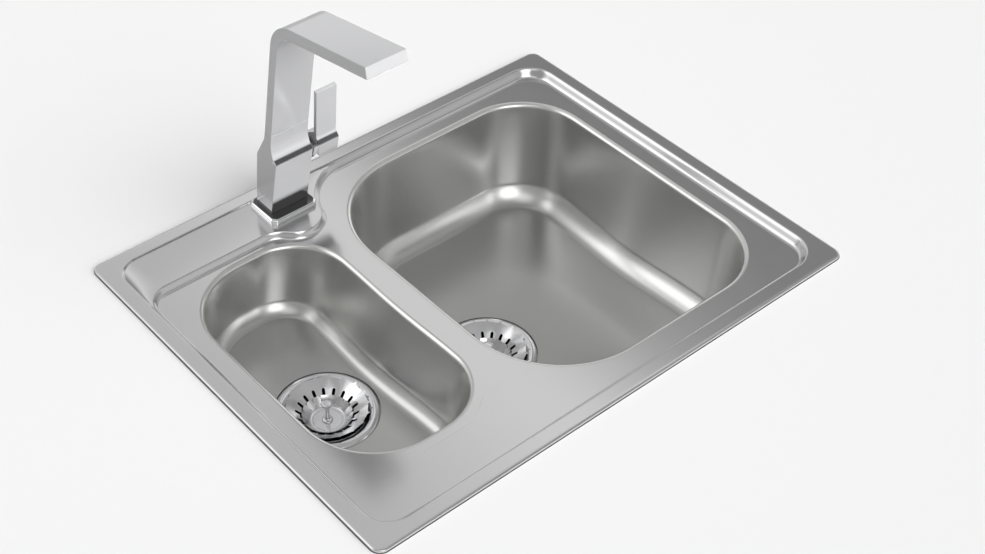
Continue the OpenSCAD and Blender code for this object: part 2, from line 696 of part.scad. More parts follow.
body_top = bowl_under - lower_gasket_t;
body_flange_t = 4;
cup_bottom = body_top - body_cup_h;
funnel_h = 8;
outlet_top = cup_bottom - funnel_h;
outlet_end = outlet_top - outlet_len;
boss_r = 7;
boss_h = 12;
rib_t = 3;
screw_head_r = 6;
screw_head_h = 3;
module waste_body() color(plastic) {
    rotate_extrude() polygon([
        [body_flange_r, body_top], [body_flange_r, body_top - body_flange_t],
        [body_r, body_top - body_flange_t], [body_r, cup_bottom],
        [outlet_r, outlet_top], [outlet_r, outlet_end], [outlet_bore_r, outlet_end],
        [outlet_bore_r, outlet_top], [body_r - body_wall, cup_bottom + body_wall / 2],
        [body_r - body_wall, body_top]]);
    translate([0, 0, outlet_top - boss_h]) difference() {
        union() {
            cylinder(r = boss_r, h = boss_h);
            for (a = [0:120:240]) rotate([0, 0, a])
                translate([0, -rib_t / 2, 0]) cube([outlet_bore_r + 0.5, rib_t, boss_h]);
        }
        translate([0, 0, -over]) cylinder(r = waste_screw_r + fixed, h = boss_h + 2 * over);
    }
}
module main_waste_body() at_waste(MAIN) waste_body();
module half_waste_body() at_waste(HALF) waste_body();

module waste_screw() color(zinc) {
    translate([0, 0, -cup_depth]) cylinder(r = screw_head_r, h = screw_head_h);
    translate([0, 0, outlet_top - boss_h]) cylinder(r = waste_screw_r, h = -cup_depth - outlet_top + boss_h);
}
module main_waste_screw() at_waste(MAIN) waste_screw();
module half_waste_screw() at_waste(HALF) waste_screw();

// Basket: rim, slotted cone and dish in one sheet
basket_t = 0.8;
basket_top = 0.6;
dish_z = basket_top - basket_depth;
cone_foot_r = dish_r + 2;
module slot(l, w) {
    translate([0, -w / 2]) square([l, w]);
    circle(d = w);
    translate([l, 0]) circle(d = w);
}
module basket() color(polished) difference() {
    rotate_extrude() polygon([
        [basket_r, basket_top - 1.6], [basket_r, basket_top - 0.4], [basket_r - 0.6, basket_top],
        [cone_r + 0.8, basket_top], [cone_r, basket_top - 0.5],
        [cone_foot_r, dish_z + 1.6], [dish_r, dish_z], [0, dish_z],
        [0, dish_z - basket_t], [dish_r + 0.4, dish_z - basket_t],
        [cone_foot_r + 0.5, dish_z + 0.8], [cone_r + 0.5, basket_top - 1.4],
        [basket_r - basket_t, basket_top - basket_t - 0.2], [basket_r - basket_t, basket_top - 1.6]]);
    for (i = [0:slot_count - 1]) rotate([0, 0, 360 / slot_count * i])
        translate([cone_foot_r + slot_w / 2 + 0.6, 0, dish_z - over])
            linear_extrude(basket_depth + 2 * over) slot(cone_r - cone_foot_r - slot_w - 1.6, slot_w);
    translate([0, 0, dish_z - basket_t - over]) cylinder(r = knob_post_r + fixed, h = basket_t + 2 * over);
}
module main_basket() at_waste(MAIN) basket();
module half_basket() at_waste(HALF) basket();

// Seal on the basket's underside, seated on the cup's floor
module basket_seal() color(rubber) rotate_extrude() polygon([
    [hub_r, dish_z - basket_t], [dish_r - 1, dish_z - basket_t], [dish_r + 2, -cup_depth + 3],
    [dish_r + 3, -cup_depth + gap], [dish_r - 1, -cup_depth + gap], [dish_r - 3, -cup_depth + 4],
    [hub_r + 4, dish_z - basket_t - 1.6], [hub_r, dish_z - basket_t - 1.6]]);
module main_basket_seal() at_waste(MAIN) basket_seal();
module half_basket_seal() at_waste(HALF) basket_seal();

knob_under = 1.4;
knob_collar_h = 2;
knob_top_h = 4;
module basket_knob() color(polished) translate([0, 0, dish_z]) rotate_extrude() polygon([
    [0, -basket_t - knob_under], [hub_r - 1, -basket_t - knob_under], [hub_r - 1, -basket_t],
    [knob_post_r, -basket_t], [knob_post_r, 0], [knob_r, 0], [knob_r, knob_collar_h - 0.8],
    [knob_r - 1, knob_collar_h], [knob_post_r, knob_collar_h + 0.6], [knob_post_r, knob_h - knob_top_h],
    [knob_r - 1, knob_h - knob_top_h + 0.4], [knob_r, knob_h - knob_top_h + 1.4],
    [knob_r, knob_h - 1.2], [knob_r - 1.2, knob_h], [0, knob_h]]);
module main_basket_knob() at_waste(MAIN) basket_knob();
module half_basket_knob() at_waste(HALF) basket_knob();

// Tap. Side outlines are drawn in [y, z] and extruded along X.
base_top = ledge_z + base_h;
module side_extrude(x, w) translate([x, 0, 0]) rotate([90, 0, 90]) linear_extrude(w) children();

base_chamfer = 1.6;
base_cut = 5;
base_spigot = sheet_t;
base_shift = -1;
base_web = 2;
thin = 0.01;
module base_outline(inset) let(x = base_w / 2 - inset, y = base_d / 2 - inset, c = base_cut)
    polygon([[x - c, -y], [x, -y + c], [x, y - c], [x - c, y],
        [-x + c, y], [-x, y - c], [-x, -y + c], [-x + c, -y]]);
module tap_base_plate() color(chrome) translate([tap_x, tap_y, 0]) difference() {
    union() {
        translate([0, base_shift, ledge_z]) linear_extrude(base_h - base_chamfer) base_outline(0);
        hull() {
            translate([0, base_shift, base_top - base_chamfer - thin])
                linear_extrude(thin) base_outline(0);
            translate([0, base_shift, base_top - thin]) linear_extrude(thin) base_outline(base_chamfer);
        }
        translate([0, 0, ledge_z - base_spigot]) cylinder(r = tap_hole_r - gap, h = base_spigot);
    }
    translate([0, 0, ledge_z - base_spigot - over])
        cylinder(r = tap_hole_r - gap - 2, h = base_h + base_spigot - base_web + over);
    for (sx = [-1, 1]) translate([sx * inlet_at.x, inlet_at.y, base_top - base_web - over])
        cylinder(r = inlet_r + 1, h = base_web + 2 * over);
    translate([stud_at.x, stud_at.y, base_top - base_web - over])
        cylinder(r = stud_r + gap, h = base_web + 2 * over);
}

// Column's middle line: through the seam, leaning towards the bowls
foot_mid_y = tap_y + 1;
seam_y = tap_y - 17.5;
seam_z = base_top + seam_h;
column_dir = [-sin(column_lean), cos(column_lean)];
column_side = [cos(column_lean), sin(column_lean)];
function on_column(along, across) = [seam_y, seam_z] + along * column_dir + across * column_side;

shoulder_z = base_top + shoulder_h;
shoulder_front = tap_y - 28.6;
shoulder_back = shoulder_front + shoulder_d;
neck_z = shoulder_z + 7;
body_outline = [
    [foot_mid_y - foot_d / 2, base_top],
    [shoulder_front, shoulder_z],
    [shoulder_front + 5.5, neck_z],
    on_column(-20, -column_t / 2 - 0.5),
    on_column(-gap / 2, -column_t / 2),
    on_column(-gap / 2, column_t / 2),
    on_column(-14, column_t / 2 + 0.5),
    on_column(-24, column_t / 2 + 4),
    [shoulder_back - 3, shoulder_z + 4],
    [shoulder_back, shoulder_z - 3],
    [foot_mid_y + foot_d / 2, base_top],
];
body_left = tap_x - tap_w / 2;
body_right = tap_x + tap_w / 2;

inlet_at = [9, 3];
stud_at = [0, -7.5];
// Room round a hose's end
hose_room = 0.5;
bush_wall = 0.75;
bore_r = spigot_r + bush_wall;

// The cartridge lies along X in the body's shoulder
cartridge_in = 9;
cartridge_drop = 11;
cartridge_y = tap_y - cartridge_in;
cartridge_z = shoulder_z - cartridge_drop;
module along_x(x) translate([x, cartridge_y, cartridge_z]) rotate([0, 90, 0]) children();

module on_column_axis() translate([tap_x, seam_y, seam_z]) rotate([column_lean, 0, 0]) children();

collar_plug = 6;
cartridge_end = body_right - collar_plug - cartridge_l;
module tap_body() color(chrome) difference() {
    side_extrude(body_left, tap_w) polygon(body_outline);
    for (sx = [-1, 1]) translate([tap_x + sx * inlet_at.x, tap_y + inlet_at.y, base_top - over])
        cylinder(r = inlet_r, h = inlet_depth + over);
    translate([tap_x + stud_at.x, tap_y + stud_at.y, base_top - over])
        cylinder(r = stud_r + fixed, h = inlet_depth + over);
    along_x(cartridge_end) cylinder(r = cartridge_r + fixed, h = cartridge_l + collar_plug + over);
    on_column_axis() translate([0, 0, -spigot_l - over]) cylinder(r = bore_r, h = spigot_l + 2 * over);
}

// Ceramic cartridge with its outer end open for the rotor
rotor_seat = 11;
module cartridge() color(plastic) difference() {
    along_x(cartridge_end) cylinder(r = cartridge_r, h = cartridge_l);
    along_x(cartridge_end + cartridge_l - rotor_seat) cylinder(r = rotor_r + running, h = rotor_seat + over);
}
collar_r = 13.5;
collar_bore = rotor_r + 0.5;
module cartridge_collar() color(chrome) difference() {
    union() {
        along_x(body_right - collar_plug) cylinder(r = cartridge_r, h = collar_plug);
        along_x(body_right) cylinder(r = collar_r, h = collar_l);
    }
    along_x(body_right - collar_plug - over) cylinder(r = collar_bore, h = collar_plug + collar_l + 2 * over);
}

// The rotor turns in the cartridge, and the lever's stem rocks on a pin in its fork
pivot_x = body_right - 3;
pin_r = 1.5;
fork_end = 2.5;
rotor_start = body_right - collar_plug - rotor_seat + gap;
rotor_stop = body_right + 3;
module at_pivot() translate([pivot_x, cartridge_y, cartridge_z]) rotate([90, 0, 0]) children();
module cartridge_rotor() color(brass) difference() {
    along_x(rotor_start) cylinder(r = rotor_r, h = rotor_stop - rotor_start);
    translate([rotor_start + fork_end, cartridge_y - stem_t / 2 - gap, cartridge_z - rotor_r - over])
        cube([rotor_stop - rotor_start, stem_t + 2 * gap, 2 * rotor_r + 2 * over]);
    at_pivot() cylinder(r = pin_r, h = 2 * rotor_r + 2 * over, center = true);
}
module rotor_pin() color(zinc) at_pivot() cylinder(r = pin_r, h = 2 * rotor_r - 2, center = true);

stem_inner = 8;
stem_outer = 30;
module lever_stem() color(brass) difference() {
    translate([pivot_x - stem_inner, cartridge_y - stem_t / 2, cartridge_z - stem_h / 2])
        cube([stem_inner + stem_outer, stem_t, stem_h]);
    at_pivot() cylinder(r = pin_r + running, h = stem_t + 2 * over, center = true);
}

// Lever: a plate above the crease, a hub round the stem, and a skirt beside the body
plate_x = body_right + lever_gap;
skirt_x = body_right + skirt_gap;
lever_right = plate_x + lever_w;
plate_lean = 4;
hub_back_r = 15.5;
pocket_r = collar_r + 2.1;
plate_foot = [shoulder_front + 4.2, neck_z];
plate_tip_z = plate_foot.y + lever_h - 7;
plate_tip_y = plate_foot.x - (plate_tip_z - plate_foot.y) * tan(plate_lean);
nub_z = cartridge_z - 14;
function front_face_y(z) = mix(foot_mid_y - foot_d / 2, shoulder_front, (z - base_top) / shoulder_h);
lever_outline = [
    [front_face_y(nub_z), nub_z],
    [shoulder_front, shoulder_z],
    plate_foot,
    [plate_tip_y, plate_tip_z],
    [plate_tip_y + 1, plate_tip_z + 1.2],
    [plate_tip_y + lever_t, plate_tip_z + 1.2],
    [plate_foot.x + lever_t, neck_z + 2],
    [plate_foot.x + lever_t + 5, neck_z - 3],
    [cartridge_y + 8, cartridge_z + 13.2],
    [cartridge_y + 8, nub_z],
];
skirt_outline = [
    [front_face_y(cartridge_z - 2), cartridge_z - 2],
    [shoulder_front, shoulder_z],
    [shoulder_front + 5, shoulder_z],
    [shoulder_front + 5, cartridge_z - 2],
];
module tap_lever() color(chrome) difference() {
    union() {
        side_extrude(plate_x, lever_w) polygon(lever_outline);
        along_x(plate_x) cylinder(r = hub_back_r, h = lever_w);
        side_extrude(skirt_x, plate_x - skirt_x + over) polygon(skirt_outline);
    }
    along_x(skirt_x - over) cylinder(r = pocket_r, h = plate_x - skirt_x + over);
    translate([plate_x - over, cartridge_y - stem_t / 2 - fixed, cartridge_z - stem_h / 2 - fixed])
        cube([pivot_x + stem_outer - plate_x + over + gap, stem_t + 2 * fixed, stem_h + 2 * fixed]);
    // Room below the stem, so that the lever can be lifted off upright
    side_wedge();
    translate([lever_screw_x, cartridge_y, cartridge_z])
        rotate([-90, 0, 0]) cylinder(r = lever_screw_r + fixed, h = hub_back_r + over);
}
// Wedge of the lever's lift, cut from the hub below the stem
module side_wedge() translate([0, cartridge_y + 2 * hub_back_r, cartridge_z]) rotate([90, 0, 0])
    linear_extrude(4 * hub_back_r) polygon([
        [plate_x - over, 0], [plate_x, 0], [plate_x + 2 * hub_back_r * tan(lever_lift), -2 * hub_back_r],
        [plate_x - over, -2 * hub_back_r]]);
lever_screw_x = plate_x + 10;
lever_screw_r = 2.5;
module lever_screw() color(zinc) translate([lever_screw_x, cartridge_y + stem_t / 2, cartridge_z])
    rotate([-90, 0, 0]) cylinder(r = lever_screw_r, h = hub_back_r - stem_t / 2 - 3);

// Spout: column, bend and arm in one flat bar
arm_dir = [-cos(arm_rise), sin(arm_rise)];
arm_up = [sin(arm_rise), cos(arm_rise)];
bend_c = on_column(column_l, -bend_r);
bend_a0 = column_lean;
bend_a1 = 90 - arm_rise;
arm_t2 = column_t / 2 + 0.9;
arm_start = bend_c + bend_r * arm_up;
arm_tip = arm_start + arm_l * arm_dir;
bend_steps = 12;
function bend_arc(side) = [for (i = [0:bend_steps])
    let(u = i / bend_steps, a = mix(bend_a0, bend_a1, u), r = bend_r + side * mix(column_t / 2, arm_t2, u))
    bend_c + r * [cos(a), sin(a)]];
spout_outline = concat(
    [on_column(gap / 2, column_t / 2)],
    bend_arc(1),
    [arm_tip + arm_t2 * arm_up],
    [arm_tip - arm_t2 * arm_up],
    reversed(bend_arc(-1)),
    [on_column(gap / 2, -column_t / 2)]);
aerator_depth = 8;
aerator_out = 2.5;
module at_aerator() let(p = arm_tip - aerator_back * arm_dir - arm_t2 * arm_up)
    translate([tap_x, p.x, p.y]) rotate([-arm_rise, 0, 0]) children();
spigot_up = 18;
module tap_spout() color(chrome) difference() {
    side_extrude(body_left, tap_w) polygon(spout_outline);
    at_aerator() translate([0, 0, -over]) cylinder(r = aerator_r + fixed, h = aerator_depth + over);
    on_column_axis() translate([0, 0, -over]) cylinder(r = spigot_r + fixed, h = spigot_up + over);
}
module aerator() color(plastic) at_aerator() difference() {
    translate([0, 0, -aerator_out]) cylinder(r = aerator_r, h = aerator_out + aerator_depth);
    translate([0, 0, -aerator_out - over]) cylinder(r = aerator_r - 1.6, h = over + 2);
}

// Spigot in the spout, with its bush in the body's neck and a ring in its groove
o_ring_at = -20;
o_ring_t = 1.6;
groove = 0.9;
module spout_spigot() color(brass) on_column_axis() difference() {
    translate([0, 0, -spigot_l]) cylinder(r = spigot_r, h = spigot_l + spigot_up);
    translate([0, 0, o_ring_at]) washer(spigot_r - groove, spigot_r + over, 0, o_ring_t + 2 * running);
    translate([0, 0, -spigot_l - over]) cylinder(r = spigot_r - 1.4, h = spigot_l + spigot_up + 2 * over);
}
module spout_o_ring() color(rubber) on_column_axis()
    washer(spigot_r - groove, spigot_r, o_ring_at + running, o_ring_t);
module spout_bush() color(plastic) on_column_axis()
    washer(spigot_r + running, bore_r, -spigot_l, spigot_l - gap);

// Fixing under the deck: stud, horseshoe gasket and plate, and nut
plate_r = 24;
plate_t = 2.5;
gasket_t = 3;
hose_r = inlet_r + hose_room;
nut_r = 5.8;
nut_h = 14;
// The horseshoe is open towards the back, so that the hoses pass
module horseshoe(z, t) translate([tap_x, tap_y, z]) difference() {
    cylinder(r = plate_r, h = t);
    for (sx = [-1, 1]) translate([sx * inlet_at.x, inlet_at.y, -over])
        cylinder(r = hose_r, h = t + 2 * over);
    translate([-inlet_at.x, inlet_at.y - hose_r, -over])
        cube([2 * inlet_at.x, plate_r, t + 2 * over]);
    translate([-inlet_at.x - hose_r, inlet_at.y, -over])
        cube([2 * (inlet_at.x + hose_r), plate_r, t + 2 * over]);
    translate([stud_at.x, stud_at.y, -over]) cylinder(r = stud_r + gap, h = t + 2 * over);
}
module horseshoe_gasket() color(rubber) horseshoe(under_ledge - gasket_t, gasket_t);
module horseshoe_plate() color(zinc) horseshoe(under_ledge - gasket_t - plate_t, plate_t);
module at_stud(z) translate([tap_x + stud_at.x, tap_y + stud_at.y, z]) children();
module tap_stud() color(zinc) at_stud(base_top + inlet_depth - stud_l) cylinder(r = stud_r, h = stud_l);
module stud_nut() color(brass) at_stud(under_ledge - gasket_t - plate_t - nut_h) difference() {
    cylinder(r = nut_r, h = nut_h, $fn = 6);
    translate([0, 0, -over]) cylinder(r = stud_r + fixed, h = nut_h + 2 * over);
}

deck_panel();
main_bowl();
half_bowl();
rim_seal();
clip_brackets();
clip_arms();
clip_screws();
main_damping_pad();
half_damping_pad();
main_waste_flange();
main_top_gasket();
main_lower_gasket();
main_waste_body();
main_waste_screw();
main_basket();
main_basket_seal();
main_basket_knob();
half_waste_flange();
half_top_gasket();
half_lower_gasket();
half_waste_body();
half_waste_screw();
half_basket();
half_basket_seal();
half_basket_knob();
tap_base_plate();
tap_body();
cartridge();
cartridge_collar();
cartridge_rotor();
rotor_pin();
lever_stem();
tap_lever();
lever_screw();
tap_spout();
spout_spigot();
spout_bush();
spout_o_ring();
aerator();
tap_stud();
horseshoe_gasket();
horseshoe_plate();
stud_nut();
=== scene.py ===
import json
import math

import bmesh
import bpy
import numpy as np
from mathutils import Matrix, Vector
from mathutils.geometry import delaunay_2d_cdt


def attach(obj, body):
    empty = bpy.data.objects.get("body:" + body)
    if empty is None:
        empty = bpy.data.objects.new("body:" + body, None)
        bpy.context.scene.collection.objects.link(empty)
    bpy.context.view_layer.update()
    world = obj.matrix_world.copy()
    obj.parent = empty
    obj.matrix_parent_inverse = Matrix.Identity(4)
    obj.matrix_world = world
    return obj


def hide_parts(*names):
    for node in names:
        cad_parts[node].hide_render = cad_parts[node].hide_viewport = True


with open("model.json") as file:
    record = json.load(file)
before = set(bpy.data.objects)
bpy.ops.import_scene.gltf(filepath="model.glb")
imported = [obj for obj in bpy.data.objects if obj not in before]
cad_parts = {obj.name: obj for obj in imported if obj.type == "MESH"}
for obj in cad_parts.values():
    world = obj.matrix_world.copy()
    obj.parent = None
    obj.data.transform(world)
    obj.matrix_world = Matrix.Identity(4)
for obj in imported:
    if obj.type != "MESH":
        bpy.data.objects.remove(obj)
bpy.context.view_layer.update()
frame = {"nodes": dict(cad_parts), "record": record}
print("frame loaded:", len(frame["nodes"]), "nodes")

# Camera of the photograph, in metres and degrees, its lens and sensor in millimetres
photoView = {"at": (-0.8746, -0.9637, 1.1691), "turn": (47.523, 0.0, -39.196), "lens": 58.71,
             "sensor": 36.0, "shift": 0.088}
cameraData = bpy.data.cameras.new("photoCamera")
cameraData.lens = photoView["lens"]
cameraData.sensor_width = photoView["sensor"]
cameraData.shift_x = photoView["shift"]
camera = bpy.data.objects.new("photoCamera", cameraData)
camera.location = photoView["at"]
camera.rotation_euler = [math.radians(a) for a in photoView["turn"]]
bpy.context.scene.collection.objects.link(camera)
bpy.context.scene.camera = camera
bpy.context.scene.view_settings.view_transform = "Standard"
print("camera placed")


# Helpers for meshes; all lengths below are in millimetres unless a note says otherwise
mm = 0.001
shading = {"weld": 2e-6, "softWeld": 1e-6, "softAngle": 35.0}  # metres and degrees


def mix(a, b, w):
    return a + (b - a) * w


def ease(u):  # smooth step from 0 to 1
    v = np.clip(u, 0.0, 1.0)
    return v * v * (3.0 - 2.0 * v)


def arcOf(centre, radius, first, last, steps):
    # centre + radius * (cos a, sin a), with a even between two angles in degrees
    a = np.radians(np.linspace(first, last, steps + 1))
    return np.column_stack([centre[0] + radius * np.cos(a), centre[1] + radius * np.sin(a)])


def raised(outline, height):
    # Outline in the plane, lifted to a height that is one number or one per point
    return np.column_stack([outline, np.broadcast_to(height, len(outline))])


def stripFaces(rows, columns, wrapRows=False):
    # Quads between neighbouring closed rings; rings run from outside in, points anticlockwise
    i, j = np.meshgrid(np.arange(rows if wrapRows else rows - 1), np.arange(columns), indexing="ij")
    i1, j1 = (i + 1) % rows, (j + 1) % columns
    quads = np.stack([i * columns + j, i * columns + j1, i1 * columns + j1, i1 * columns + j], -1)
    return quads.reshape(-1, 4).tolist()


def addPiece(name, parts, body, material, nodes, sharp=35.0):
    # One object from lists of points and of faces, welded and shaded by angle
    points, faces = [], []
    for partPoints, partFaces in parts:
        offset = sum(len(p) for p in points)
        points.append(np.asarray(partPoints, float).reshape(-1, 3) * mm)
        faces += [[k + offset for k in face] for face in partFaces]
    mesh = bpy.data.meshes.new(name)
    mesh.from_pydata(np.concatenate(points).tolist(), [], faces)
    work = bmesh.new()
    work.from_mesh(mesh)
    bmesh.ops.remove_doubles(work, verts=work.verts, dist=shading["weld"])
    work.to_mesh(mesh)
    work.free()
    mesh.validate()
    mesh.shade_smooth()
    mesh.set_sharp_from_angle(angle=math.radians(sharp))
    mesh.materials.append(material)
    piece = bpy.data.objects.new(name, mesh)
    bpy.context.scene.collection.objects.link(piece)
    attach(piece, body)
    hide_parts(*nodes)
    return piece


def addStage(name, parts, material):
    # Object of the stage, which isn't part of the sink
    points, faces = parts
    mesh = bpy.data.meshes.new(name)
    mesh.from_pydata((points.reshape(-1, 3) * mm).tolist(), [], faces)
    mesh.materials.append(material)
    made = bpy.data.objects.new(name, mesh)
    bpy.context.scene.collection.objects.link(made)


def thicken(piece, thickness):
    wall = piece.modifiers.new("sheet", "SOLIDIFY")
    wall.thickness = thickness * mm
    wall.offset = -1.0
    wall.use_even_offset = True
    soften(piece)


def soften(piece):
    piece.modifiers.new("softShading", "NODES").node_group = softGroup


def roundEdges(piece, width, segments=3, angle=30.0):
    edge = piece.modifiers.new("edges", "BEVEL")
    edge.width = width * mm
    edge.segments = segments
    edge.limit_method = "ANGLE"
    edge.angle_limit = math.radians(angle)
    edge.harden_normals = True
    edge.miter_outer = "MITER_ARC"


def revolved(profile, steps, centre, closed=True):
    # Profile of (radius, height), turned round a vertical axis; over the top it runs from outside in
    profile = np.asarray(profile, float)
    a = np.radians(np.arange(steps) * 360.0 / steps)
    rings = np.stack([centre[0] + profile[:, :1] * np.cos(a), centre[1] + profile[:, :1] * np.sin(a),
                      np.broadcast_to(centre[2] + profile[:, 1:2], (len(profile), steps))], -1)
    return rings, stripFaces(len(profile), steps, wrapRows=closed)


def rounded(corners, steps=8):
    # Closed outline whose corners (x, y, radius) become arcs tangent to both sides
    p = np.asarray([c[:2] for c in corners], float)
    out = []
    for k, (_, _, radius) in enumerate(corners):
        a, b = p[k - 1] - p[k], p[(k + 1) % len(p)] - p[k]
        a, b = a / np.linalg.norm(a), b / np.linalg.norm(b)
        half = math.acos(max(-1.0, min(1.0, float(a @ b)))) / 2
        if radius <= 0 or half > 1.565:  # sharp, or all but straight
            out.append(p[k][None])
            continue
        reach = radius / math.tan(half)
        centre = p[k] + (a + b) / np.linalg.norm(a + b) * radius / math.sin(half)
        first, last = p[k] + a * reach - centre, p[k] + b * reach - centre
        start, end = math.atan2(first[1], first[0]), math.atan2(last[1], last[0])
        end = start + (end - start + math.pi) % (2 * math.pi) - math.pi
        t = np.linspace(start, end, steps + 1)
        out.append(np.column_stack([centre[0] + radius * np.cos(t), centre[1] + radius * np.sin(t)]))
    return np.concatenate(out)


def sidePrism(outline, x0, x1):
    # Outline in (y, z), anticlockwise seen from +X, carried along X from x0 to x1
    n = len(outline)
    near = np.column_stack([np.full(n, x0), outline])
    far = np.column_stack([np.full(n, x1), outline])
    sides = [[j, (j + 1) % n, n + (j + 1) % n, n + j] for j in range(n)]
    return np.concatenate([near, far]), [list(range(n))[::-1], list(range(n, 2 * n))] + sides


# Helpers for shading
class Wire:
    # A node's output in a shader; arithmetic on it adds Math nodes
    def __init__(self, tree, socket):
        self.tree, self.socket = tree, socket

    def math(self, operation, a, b):
        return addNode(self.tree, "ShaderNodeMath", {"operation": operation}, {0: a, 1: b})

    def __add__(self, other):
        return self.math("ADD", self, other)

    __radd__ = __add__

    def __sub__(self, other):
        return self.math("SUBTRACT", self, other)

    def __rsub__(self, other):
        return self.math("SUBTRACT", other, self)

    def __mul__(self, other):
        return self.math("MULTIPLY", self, other)

    __rmul__ = __mul__


def fillRamp(ramp, stops):
    # Grey stops, each a place from 0 to 1 and a level
    while len(ramp.elements) < len(stops):
        ramp.elements.new(1.0)
    for element, (place, level) in zip(ramp.elements, stops):
        element.position = place
        element.color = (level, level, level, 1.0)


def addNode(tree, kind, settings, values, out=0):
    made = tree.nodes.new(kind)
    for key, value in settings.items():
        if key == "stops":
            fillRamp(made.color_ramp, value)
        else:
            setattr(made, key, value)
    for key, value in values.items():
        if isinstance(value, Wire):
            tree.links.new(value.socket, made.inputs[key])
        else:
            made.inputs[key].default_value = value
    return Wire(tree, made.outputs[out] if made.outputs else None)


def softShading():
    # Geometry nodes: weld the triangles, shade smooth, keep steep edges sharp
    group = bpy.data.node_groups.new("softShading", "GeometryNodeTree")
    for way in ("INPUT", "OUTPUT"):
        group.interface.new_socket("Geometry", in_out=way, socket_type="NodeSocketGeometry")
    start = addNode(group, "NodeGroupInput", {}, {})
    welded = addNode(group, "GeometryNodeMergeByDistance", {},
                     {"Geometry": start, "Distance": shading["softWeld"]})
    smooth = addNode(group, "GeometryNodeSetShadeSmooth", {"domain": "FACE"},
                     {"Geometry": welded, "Shade Smooth": True})
    angle = addNode(group, "GeometryNodeInputMeshEdgeAngle", {}, {})
    steep = addNode(group, "FunctionNodeCompare", {"data_type": "FLOAT", "operation": "GREATER_THAN"},
                    {0: angle, 1: math.radians(shading["softAngle"])})
    sharp = addNode(group, "GeometryNodeSetShadeSmooth", {"domain": "EDGE"},
                    {"Geometry": smooth, "Selection": steep, "Shade Smooth": False})
    addNode(group, "NodeGroupOutput", {}, {"Geometry": sharp})
    return group


softGroup = softShading()


def newFinish(name, fixed):
    # Material with fixed values on its shader's own sockets
    material = bpy.data.materials.new(name)
    material.use_nodes = True
    tree = material.node_tree
    surface = tree.nodes["Principled BSDF"]
    for key, value in fixed.items():
        surface.inputs[key].default_value = value
    return material, tree, surface


def pattern(tree, scale, detail, roughness=0.5):
    # Noise on Object coordinates, stretched by a scale for each axis, in cells per metre
    place = addNode(tree, "ShaderNodeTexCoord", {}, {}, out="Object")
    turned = addNode(tree, "ShaderNodeMapping", {"vector_type": "POINT"},
                     {"Vector": place, "Scale": scale})
    return addNode(tree, "ShaderNodeTexNoise", {"noise_dimensions": "3D"},
                   {"Vector": turned, "Scale": 1.0, "Detail": detail, "Roughness": roughness})


def mixedTone(tree, share, dark, light):
    # Colour between two tones, each a wire or a plain colour
    tones = [tone if isinstance(tone, Wire) else (*tone, 1.0) for tone in (dark, light)]
    return addNode(tree, "ShaderNodeMix", {"data_type": "RGBA"}, {0: share, 6: tones[0], 7: tones[1]},
                   out=2)


def axisStep(tree, axis, span, below, above):
    # Value that eases from one number to another between two places along an axis
    place = addNode(tree, "ShaderNodeTexCoord", {}, {}, out="Object")
    along = addNode(tree, "ShaderNodeSeparateXYZ", {}, {0: place}, out=axis)
    return addNode(tree, "ShaderNodeMapRange", {"interpolation_type": "SMOOTHSTEP"},
                   {"Value": along, "From Min": span[0] * mm, "From Max": span[1] * mm,
                    "To Min": below, "To Max": above})


def finishSurface(tree, surface, tone, rough, grain, depth):
    # Colour, roughness and a fine bump, wired to the shader
    tree.links.new(tone.socket, surface.inputs["Base Color"])
    tree.links.new(rough.socket, surface.inputs["Roughness"])
    bump = addNode(tree, "ShaderNodeBump", {}, {"Strength": 1.0, "Distance": depth, "Height": grain})
    tree.links.new(bump.socket, surface.inputs["Normal"])


# Shares of the slow drift in a metal's tone and roughness, and the fineness of its grain
metalLook = {"driftInTone": 0.7, "driftInRough": 0.6, "detail": 3.0, "grainRoughness": 0.65}
plainLook = {"spread": 0.12, "detail": 3.0, "fineTimes": 6, "fineDetail": 2.0}


def metalFinish(name, dark, light, rough, spread, grain, depth, cloud=18.0, metallic=1.0, floor=None,
                worn=0.58, fade=12.0):
    # Metal whose colour drifts between two tones, with a brushed grain (cells per metre along each
    # axis, depth in metres) in its roughness and bump; below a height its colour is darkened,
    # a painted shade for a bowl's floor or a waste cup
    material, tree, surface = newFinish(name, {"Metallic": metallic})
    drift = pattern(tree, (cloud,) * 3, metalLook["detail"])
    brushed = pattern(tree, grain, metalLook["detail"], metalLook["grainRoughness"])
    share = metalLook["driftInTone"]
    tone = mixedTone(tree, drift * share + brushed * (1 - share), dark, light)
    if floor:
        above = axisStep(tree, "Z", (floor, floor + fade), 0.0, 1.0)
        tone = mixedTone(tree, above, [worn * v for v in dark], tone)
    drifting = (drift - 0.5) * (spread * metalLook["driftInRough"])
    finishSurface(tree, surface, tone, (brushed - 0.5) * spread + drifting + rough, brushed, depth)
    return material


def plainFinish(name, dark, light, rough, grain, depth):
    # Moulded or rubbed material: two close tones, a fine pebble bump
    material, tree, surface = newFinish(name, {"Metallic": 0.0})
    drift = pattern(tree, (grain,) * 3, plainLook["detail"])
    fine = pattern(tree, (grain * plainLook["fineTimes"],) * 3, plainLook["fineDetail"])
    tone = mixedTone(tree, drift, dark, light)
    finishSurface(tree, surface, tone, (drift - 0.5) * plainLook["spread"] + rough, fine, depth)
    return material


def steel(grey, blue, **more):
    # Two close greys with a little more or less blue
    return {"dark": (grey[0], grey[0], grey[0] + blue), "light": (grey[1], grey[1], grey[1] + blue), **more}


